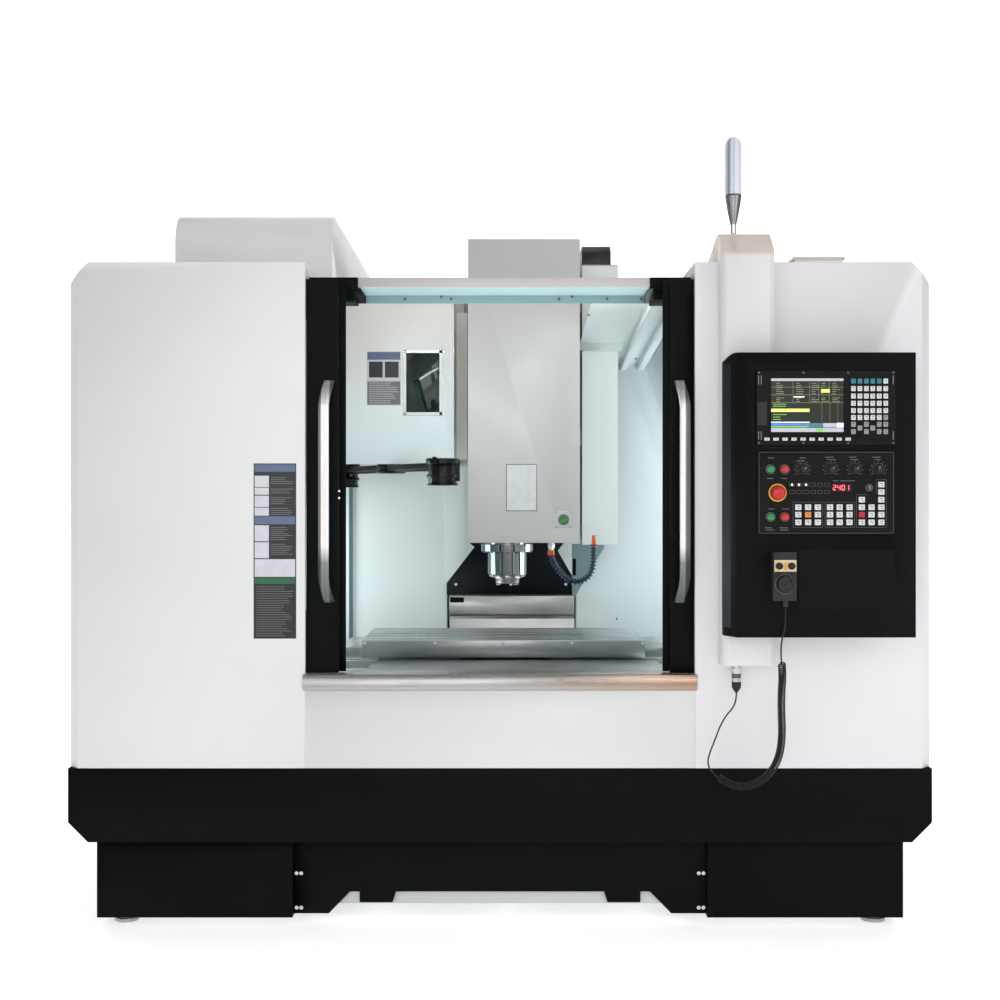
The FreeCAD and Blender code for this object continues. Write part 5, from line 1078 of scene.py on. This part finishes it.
grey_places += [(COLUMNS[1], ARROWS), (COLUMNS[3], ARROWS)]
for name, places, finish in (("teal_keys", teal_places, teal_key), ("white_keys", white_places, white_key),
                             ("grey_keys", grey_places, grey_key)):
    keys(name, places, DISPLAY, 14, 15, 3, finish)
keys("soft_keys", [(767 + 25.9 * i, 1470) for i in range(10)], DISPLAY, 16, 9, 2.5, white_key)
trim_grey = plastic("trim_grey", (0.16, 0.16, 0.17))
fields("display_slot", DISPLAY, 0.5, [((740, 767), (1510, 1577))], black_plastic)
fields("display_grips", DISPLAY, 3.0,
       [((x, x + 2.5), z) for x in (741.5, 749, 1128) for z in ((1627, 1653), (1468, 1492))], trim_grey)
screws("display_screws", 3.6, 2.2, [at(x, DISPLAY, z) for x in (744, 872, 1000, 1130) for z in (1459,
                                                                                                1661)],
       dark_steel)

LOW_ROWS = (1274.3, 1253.0, 1230.9)
ORANGE = (885.5, 1253.0)
RED = (1039.9, 1253.0)
first = [(x, z) for z in LOW_ROWS for x in (857.3, 885.5, 913.4)]
second = [(x, z) for z in LOW_ROWS for x in (948.5, 976.1, 1004.3)]
third = [(1039.9, 1296.0), (1095.9, 1296.0)] + [(x, z) for z in LOW_ROWS for x in (1039.9, 1067.8, 1095.9)]
third += [(1095.9, 1339.5), (1095.9, 1318.0)]
plain = [place for place in first + second + third if place not in (ORANGE, RED)]
for name, places, finish in (("mode_keys", plain, white_key), ("orange_keys", [ORANGE], orange_key),
                             ("red_keys", [RED], red_plastic)):
    keys(name, places, SWITCHES, 18.7, 17, 3, finish)
print_white = plastic("print_white", (0.36, 0.37, 0.38), 0.5)
print_grey = plastic("print_grey", (0.12, 0.12, 0.125), 0.5)
outlines = frame_lines(842, 928, 1216, 1289) + frame_lines(934, 1019, 1216, 1289)
outlines += [((1024, 1111), (1216, 1216.8)), ((1024, 1024.8), (1216, 1311)), ((1024, 1054), (1310.2, 1311)),
             ((1110.2, 1111), (1216, 1354)), ((1081, 1111), (1353.2, 1354)), ((1081, 1081.8), (1311, 1354))]
fields("key_frames", SWITCHES, 0.3, outlines, print_grey)
edge_grey = plastic("edge_grey", (0.04, 0.04, 0.042), 0.5)
fields("panel_edges", SWITCHES, 0.4, frame_lines(744, 1132, 1199, 1433, 1.6), edge_grey)


# The switch panel's buttons, knobs, lamps and counter: each dial has a fan of ticks and of figure marks
# round it.

KNOB_ROW = 1383
KNOBS = (("mode", 870, 60), ("feed", 951, 50), ("rapid", 1020, 55), ("speed", 1088, -5))
BUTTON_ROW = 1246
STOP_X = 797.5
STOP_Z = 1316
POINTER = ((17.6, 1.6, 2.0, 8.6), (2.9, 1.4, 10.8, 13.4))
TICK_THICKNESS = 0.0004


def tick_tree():
    """Sets thin marks round each point in a fan, between two radii, facing the front."""
    tree, given = start_tree("dial_ticks", {"Centres": "Geometry", "Count": "Int", "Radius": "Float",
                                            "Length": "Float", "Width": "Float", "Sweep": "Float",
                                            "Finish": "Material"})

    def result_of(kind, first, second):
        return add_node(tree, "ShaderNodeMath", {0: first, 1: second}, operation=kind).outputs["Value"]

    def vector(values):
        return add_node(tree, "ShaderNodeCombineXYZ", values).outputs["Vector"]

    size = vector({"X": given["Width"], "Y": TICK_THICKNESS, "Z": given["Length"]})
    mark = add_node(tree, "GeometryNodeMeshCube", {"Size": size}).outputs["Mesh"]
    fan = add_node(tree, "GeometryNodeMeshLine", {"Count": given["Count"]}).outputs["Mesh"]
    index = add_node(tree, "GeometryNodeInputIndex", {}).outputs["Index"]
    share = result_of("DIVIDE", index, result_of("SUBTRACT", given["Count"], 1))
    angle = result_of("MULTIPLY", given["Sweep"], result_of("SUBTRACT", share, 0.5))
    sine = add_node(tree, "ShaderNodeMath", {0: angle}, operation="SINE").outputs["Value"]
    cosine = add_node(tree, "ShaderNodeMath", {0: angle}, operation="COSINE").outputs["Value"]
    away = vector({"X": result_of("MULTIPLY", given["Radius"], sine),
                   "Z": result_of("MULTIPLY", given["Radius"], cosine)})
    ring = add_node(tree, "GeometryNodeSetPosition",
                    {"Geometry": fan, "Position": away}).outputs["Geometry"]
    marks = {"Points": ring, "Instance": mark, "Rotation": vector({"Y": angle})}
    marks = add_node(tree, "GeometryNodeInstanceOnPoints", marks).outputs["Instances"]
    return end_tree(tree, {"Points": given["Centres"], "Instance": marks}, given["Finish"])


dial_ticks = tick_tree()


def ticks(name, centres, count, radius, length, width, sweep, finish):
    """A fan of marks round each centre, in millimetres and degrees."""
    grown(name, centres, dial_ticks, {"Count": count, "Radius": radius / 1000, "Length": length / 1000,
                                      "Width": width / 1000, "Sweep": math.radians(sweep)}, finish,
                                      "machine")


collar_steel = polished("collar_steel", (0.10, 0.10, 0.105), 0.3)
for name, x, z, finish in (("power_on", 777, KNOB_ROW, green_plastic),
                           ("power_off", 818, KNOB_ROW, red_plastic),
                           ("cycle_start", 777, BUTTON_ROW, green_plastic),
                           ("feed_hold", 818, BUTTON_ROW, red_plastic)):
    turned(name + "_cap", at(x, SWITCHES - 4.5, z), FRONT, button_profile(11, 7), finish,
           name + "_button_body", (name + "_button",))
    turned(name + "_collar", at(x, SWITCHES, z), FRONT,
           [(11.6, 0), (15.2, 0), (15.2, 3.2), (14.0, 5.2), (12.0, 5.4), (11.6, 5.0), (11.6, 0)],
           collar_steel)
ring_yellow = plastic("ring_yellow", (0.75, 0.42, 0.03))
turned("stop_cap", at(STOP_X, SWITCHES - 11.5, STOP_Z), FRONT,
       [(0, 0), (15.0, 0), (20.2, 2.0), (21.0, 5.0), (20.6, 9.5), (18.4, 13.6), (14.0, 16.6), (8.0, 18.0),
        (0, 18.4)],
       red_plastic, "e_stop_button_body", ("e_stop_button",))
turned("stop_ring", at(STOP_X, SWITCHES, STOP_Z), FRONT,
       [(21.8, 0), (26.0, 0), (26.0, 4.0), (24.5, 5.6), (21.8, 5.6), (21.8, 0)], ring_yellow)
for name, x, lean in KNOBS:
    centre = at(x, SWITCHES - 0.5, KNOB_ROW)
    body = name + "_knob_body"
    turned(name + "_grip", centre, FRONT,
           [(0, 0), (14, 0), (14, 2.6), (12.6, 3.8), (10.4, 4.2), (9.6, 15.6), (8.4, 17.4), (0, 17.8)],
           black_plastic, body, (name + "_knob",), 72, (18, 0.5, (4, 5)))
    mesh = bmesh.new()
    turn = Matrix.Translation(centre) @ Matrix.Rotation(math.radians(lean), 4, "Y")
    for reach, wide, low, high in POINTER:
        add_bar(mesh, turn @ Matrix.Translation((0, -(reach + 0.3) / 1000, (low + high) / 2000)),
                (wide / 1000, 0.0006, (high - low) / 1000))
    made(name + "_pointer", mesh, print_white, body)
knob_centres = [at(x, SWITCHES - 0.1, KNOB_ROW) for name, x, lean in KNOBS]
ticks("knob_ticks", knob_centres, 13, 17.5, 3.0, 0.8, 270, print_white)
ticks("knob_figures", knob_centres, 9, 23.0, 2.4, 2.8, 250, print_grey)

lamp_lit = glowing("lamp_lit", (0.9, 0.92, 0.95), 1.2)
lamps = [(839.5 + 20.1 * i, z) for z in (1339, 1318) for i in range(6)]
outline = [edge for x, z in lamps for edge in frame_lines(x - 7, x + 7, z - 5, z + 5, 0.7)]
fields("state_lamps", SWITCHES, 0.3, outline, print_grey)
fields("state_lamps_lit", SWITCHES, 0.5, [((x - 2.5, x + 2.5), (z - 2.5, z + 2.5)) for x, z in lamps[:3]],
       lamp_lit)

SEGMENTS = {"a": ((1.6, 7.6), (13.4, 15.2)), "b": ((7.4, 9.2), (8.2, 14.2)), "c": ((7.4, 9.2), (1.0, 7.2)),
            "d": ((1.6, 7.6), (0.2, 2.0)), "e": ((0.2, 2.0), (1.0, 7.2)), "f": ((0.2, 2.0), (8.2, 14.2)),
            "g": ((1.6, 7.6), (6.8, 8.6))}
DIGITS = ("abdeg", "bcfg", "abcdef", "bc")
DIGIT_FOOT = 1322.8
counter_glass = plastic("counter_glass", (0.02, 0.004, 0.005), 0.15)
counter_lit = glowing("counter_lit", (1.0, 0.10, 0.14), 2.4, 0.002)
fields("counter_window", SWITCHES, 0.8, [((953, 1012), (1319, 1342))], counter_glass)
lit = []
for place, digit in enumerate(DIGITS):
    left = 957 + 12.4 * place
    for letter in digit:
        x, z = SEGMENTS[letter]
        lit.append(((left + x[0], left + x[1]), (DIGIT_FOOT + z[0], DIGIT_FOOT + z[1])))
fields("counter_digits", SWITCHES - 0.8, 0.4, lit, counter_lit)
turned("key_switch", at(1061, SWITCHES, 1331), FRONT,
       [(0, 0), (12, 0), (12, 3), (10.4, 4.4), (8, 4.4), (7.4, 9), (2, 9), (2, 7.6), (0, 7.6)],
       collar_steel)
fields("key_slot", SWITCHES - 8.6, 0.6, [((1060, 1062), (1326, 1336))], bright_steel)
notes = ((770, 1416), (862, 1416), (852, 1408), (934, 1418), (940, 1411), (1003, 1418), (1008, 1411),
         (1070, 1418), (1078, 1411), (768, 1357), (809, 1357), (762, 1215), (804, 1215), (764, 1209),
         (806, 1209), (770, 1269), (811, 1269), (957, 1350), (978, 1350), (996, 1350))
rows("panel_rows", 26, 2.0, 0.5, [at(x, SWITCHES - 0.15, z) for x, z in notes], print_grey)


# The handwheel unit: a black hand-held box with a tan plate, two selectors and the pulse dial.

WHEEL = -240.0
DIAL = at(812, WHEEL - 0.5, 1055.5)
wheel_plastic = plastic("wheel_plastic", (0.012, 0.012, 0.013), 0.5, 0.4)
tan_metal = polished("tan_metal", (0.62, 0.50, 0.33), 0.34)
dressed("handwheel_unit", "handwheel_case", wheel_plastic)
fields("handwheel_plate", WHEEL, 0.8, [((781, 844), (1091, 1124))], tan_metal)
fields("handwheel_badge", WHEEL - 0.8, 0.3, [((808.5, 817), (1095, 1119))], ring_yellow)
for number, x in enumerate((795, 830), 1):
    turned("selector_%d" % number, at(x, WHEEL - 0.8, 1107), FRONT,
           [(0, 0), (9.9, 0), (9.9, 3), (8.6, 4), (7.8, 11.4), (6.8, 12.6), (0, 12.8)], black_plastic,
           sides=72, flutes=(16, 0.4, (3, 4)))
turned("pulse_dial", DIAL, FRONT,
       [(0, 0), (26.3, 0), (26.3, 3), (24.6, 4.6), (24.2, 17.5), (22.4, 20.4), (17, 21.4), (15.5, 20.6),
        (0, 20.2)],
       black_plastic, "handwheel_dial_body", ("handwheel_dial",), sides=96, flutes=(32, 0.4, (3, 4)))
turned("pulse_crank", DIAL + Vector((0.016, -0.0202, 0.010)), FRONT,
       [(0, 0), (4.2, 0), (4.6, 6), (5.2, 14), (4.6, 18), (2.6, 19), (0, 19)], black_plastic,
       "handwheel_dial_body", sides=32)
ticks("dial_marks", [at(812, WHEEL - 0.1, 1055.5)], 100, 27.6, 2.0, 0.5, 356.4, print_white)


# The handwheel's cord: a rubber lead from the gland, the coil, and the lead up to the round connector
# under the pendant's foot.

CORD_RADIUS = 0.0023
COIL_RADIUS = 0.0097
TURNS = 78
STEPS = 18
STRAIGHT = 0.0046
TUBE_SIDES = 8
PLUG = at(703, -50, 804)
upper_route = [(815, -230, 990), (815, -230, 964), (814, -227, 930), (808, -210, 892),
               (808.2, -191.2, 858.4), (813, -180, 828)]
coil_route = [(813, -180, 828), (819, -166, 790), (817, -155, 735), (818, -148, 680), (822, -142, 622),
              (819, -132, 560), (802, -120, 508), (768, -110, 470), (720, -98, 448), (672, -89.2, 457),
              (640, -84, 480)]
lower_route = [(640, -84, 480), (620.8, -80.88, 493.8), (613, -78, 522), (622, -75, 552), (638, -70, 588),
               (652, -64, 624), (672, -57, 656), (694, -52, 678), (703, -50, 703), (703, -50, 723)]
cord_rubber = plastic("cord_rubber", (0.010, 0.010, 0.011), 0.5, 0.35, 0.0008, 0.00004)


def lead(name, route, node):
    """A round rubber lead along a route, which stands for a cord of the part."""
    piece = strand(name, route, 24)
    piece.data.bevel_depth = CORD_RADIUS
    piece.data.bevel_resolution = 5
    piece.data.materials.append(cord_rubber)
    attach(piece, "machine")
    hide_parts(node)


def line_points(route):
    """Points read along the smooth line of a route."""
    guide = strand("coil_line", route, 24)
    points = [vert.co.copy() for vert in baked(guide).vertices]
    bpy.data.objects.remove(guide)
    return points


def tube(name, points, radius):
    """A mesh tube of steady section along close points."""
    mesh = bmesh.new()
    ahead = (points[1] - points[0]).normalized()
    across = ahead.orthogonal().normalized()
    before = None
    for i, point in enumerate(points):
        ahead = (points[min(i + 1, len(points) - 1)] - points[max(i - 1, 0)]).normalized()
        across = (across - ahead * across.dot(ahead)).normalized()
        other = ahead.cross(across)
        turns = [2 * math.pi * side / TUBE_SIDES for side in range(TUBE_SIDES)]
        ring = [mesh.verts.new(point + (across * math.cos(turn) + other * math.sin(turn)) * radius)
                for turn in turns]
        for k in range(TUBE_SIDES if before else 0):
            j = (k + 1) % TUBE_SIDES
            mesh.faces.new((before[k], before[j], ring[j], ring[k]))
        if i in (0, len(points) - 1):
            mesh.faces.new(ring)
        before = ring
    return made(name, mesh, cord_rubber)


def helix(points):
    """Points of the coil's wire: straight at both ends, wound between them."""
    reach = [0.0]
    for near, far in zip(points, points[1:]):
        reach.append(reach[-1] + (far - near).length)
    ahead = (points[1] - points[0]).normalized()
    across = ahead.orthogonal().normalized()
    wire = [points[0]]
    place = 0
    wound = reach[-1] - 2 * STRAIGHT
    for step in range(TURNS * STEPS + 1):
        share = step / (TURNS * STEPS)
        far = STRAIGHT + wound * share
        while reach[place + 1] < far and place < len(points) - 2:
            place += 1
        part = (far - reach[place]) / (reach[place + 1] - reach[place])
        middle = points[place].lerp(points[place + 1], part)
        ahead = (points[place + 1] - points[place]).normalized()
        across = (across - ahead * across.dot(ahead)).normalized()
        turn = 2 * math.pi * TURNS * share
        swell = min(1.0, turn / math.pi, (2 * math.pi * TURNS - turn) / math.pi)
        radius = COIL_RADIUS * math.sin(swell * math.pi / 2) ** 2
        wire.append(middle + (across * math.cos(turn) + ahead.cross(across) * math.sin(turn)) * radius)
    return wire + [points[-1]]


dressed("cord_plug", "cord_connector_core", bright_steel, 0.0006)
turned("connector_nut", PLUG, DOWN,
       [(10, 0), (15.6, 0), (15.6, 5), (14.2, 6), (14.2, 9), (15.6, 10), (15.6, 17), (13.6, 20),
        (13.6, 24), (10, 24)],
       bright_steel, sides=72, flutes=(24, 0.35, (4, 5, 6, 7)))
band_green = plastic("band_green", (0.06, 0.09, 0.075), 0.35)
turned("connector_band", PLUG, DOWN, [(12, 25), (13.7, 25), (14.0, 26), (14.0, 37), (13.7, 38), (12, 38)],
       band_green)
turned("connector_sleeve", PLUG, DOWN, [(12, 39), (13.4, 39), (13.4, 49), (12, 50)], bright_steel)
boot = turned("connector_boot", PLUG, DOWN,
              [(10, 50), (13.6, 50), (14.2, 52), (14.2, 62), (12.4, 69), (8.4, 75), (5.4, 79), (4.6, 81),
               (2.4, 81.3)],
              black_plastic)
lead("cord_upper_lead", upper_route, "cord_upper")
wire = helix(line_points(coil_route))
coil = tube("cord_coil_wire", wire, CORD_RADIUS)
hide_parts("cord_coil")
lead("cord_lower_lead", lower_route, "cord_lower")


# The signal lamp: a clear ribbed lens over a white tube, on a chromed cone and stem. Upright streaks stand
# for what the lens mirrors.

LAMP = at(705, 20, 0)
LAMP_STREAKS = ((0.0, 0.6), (0.06, 0.9), (0.12, 0.3), (0.20, 0.9), (0.27, 0.0), (0.34, 0.75), (0.385, 0.5),
                (0.43, 1.0), (0.50, 0.8), (0.56, 0.45), (0.61, 0.95), (0.67, 0.6), (0.73, 0.0), (0.80, 0.8),
                (0.94, 0.9))
RIBS = 20
RIB_FOOT = 2219
RIB_PITCH = 7.4
lens_clear = start_finish("lens_clear", (0.92, 0.95, 1.0), 0.08, gloss=0.6)
shade(lens_clear, {"Transmission Weight": 0.85, "IOR": 1.12})
sheen_range(lens_clear, grain(lens_clear, 0.01), 0.05, 0.12)
tube_white = plastic("tube_white", (0.80, 0.86, 0.95), 0.3)
glow(tube_white, (0.85, 0.92, 1.0), 0.10)
for finish in (tube_white, lens_clear):
    reflection_bands(finish, turn_share(finish, LAMP), LAMP_STREAKS, (0.95, 0.97, 1.0), (0.12, 0.15, 0.21))
lens_profile = [(23.5, 2216), (24.6, 2217)]
for rib in range(RIBS):
    foot = RIB_FOOT + RIB_PITCH * rib
    lens_profile += [(24.2, foot), (24.9, foot + 2.4), (24.9, foot + 4.6), (24.2, foot + 7.0)]
lens_profile += [(24.8, 2370), (23.6, 2378), (19.5, 2386), (13, 2390.6), (6, 2392), (0, 2392)]
turned("lamp_lens", LAMP, UP, lens_profile, lens_clear, stands_for=("signal_lamp",))
turned("lamp_tube", LAMP, UP, [(0, 2217), (22.4, 2217), (22.4, 2366), (17, 2379), (9, 2386), (0, 2388)],
       tube_white)
cone_steel = polished("cone_steel", (0.22, 0.22, 0.23), 0.24)
turned("lamp_cone", LAMP, UP,
       [(0, 2127), (9.5, 2127), (10.0, 2131), (12.5, 2142), (17.2, 2164), (21.2, 2186), (24.2, 2206),
        (25.0, 2209), (25.0, 2214), (24.2, 2216), (0, 2216)], cone_steel)
turned("lamp_stem", LAMP, UP, [(0, 2095), (12.5, 2095), (12.5, 2097), (8.6, 2099.5), (8.6, 2127),
                               (0, 2127)], chrome)
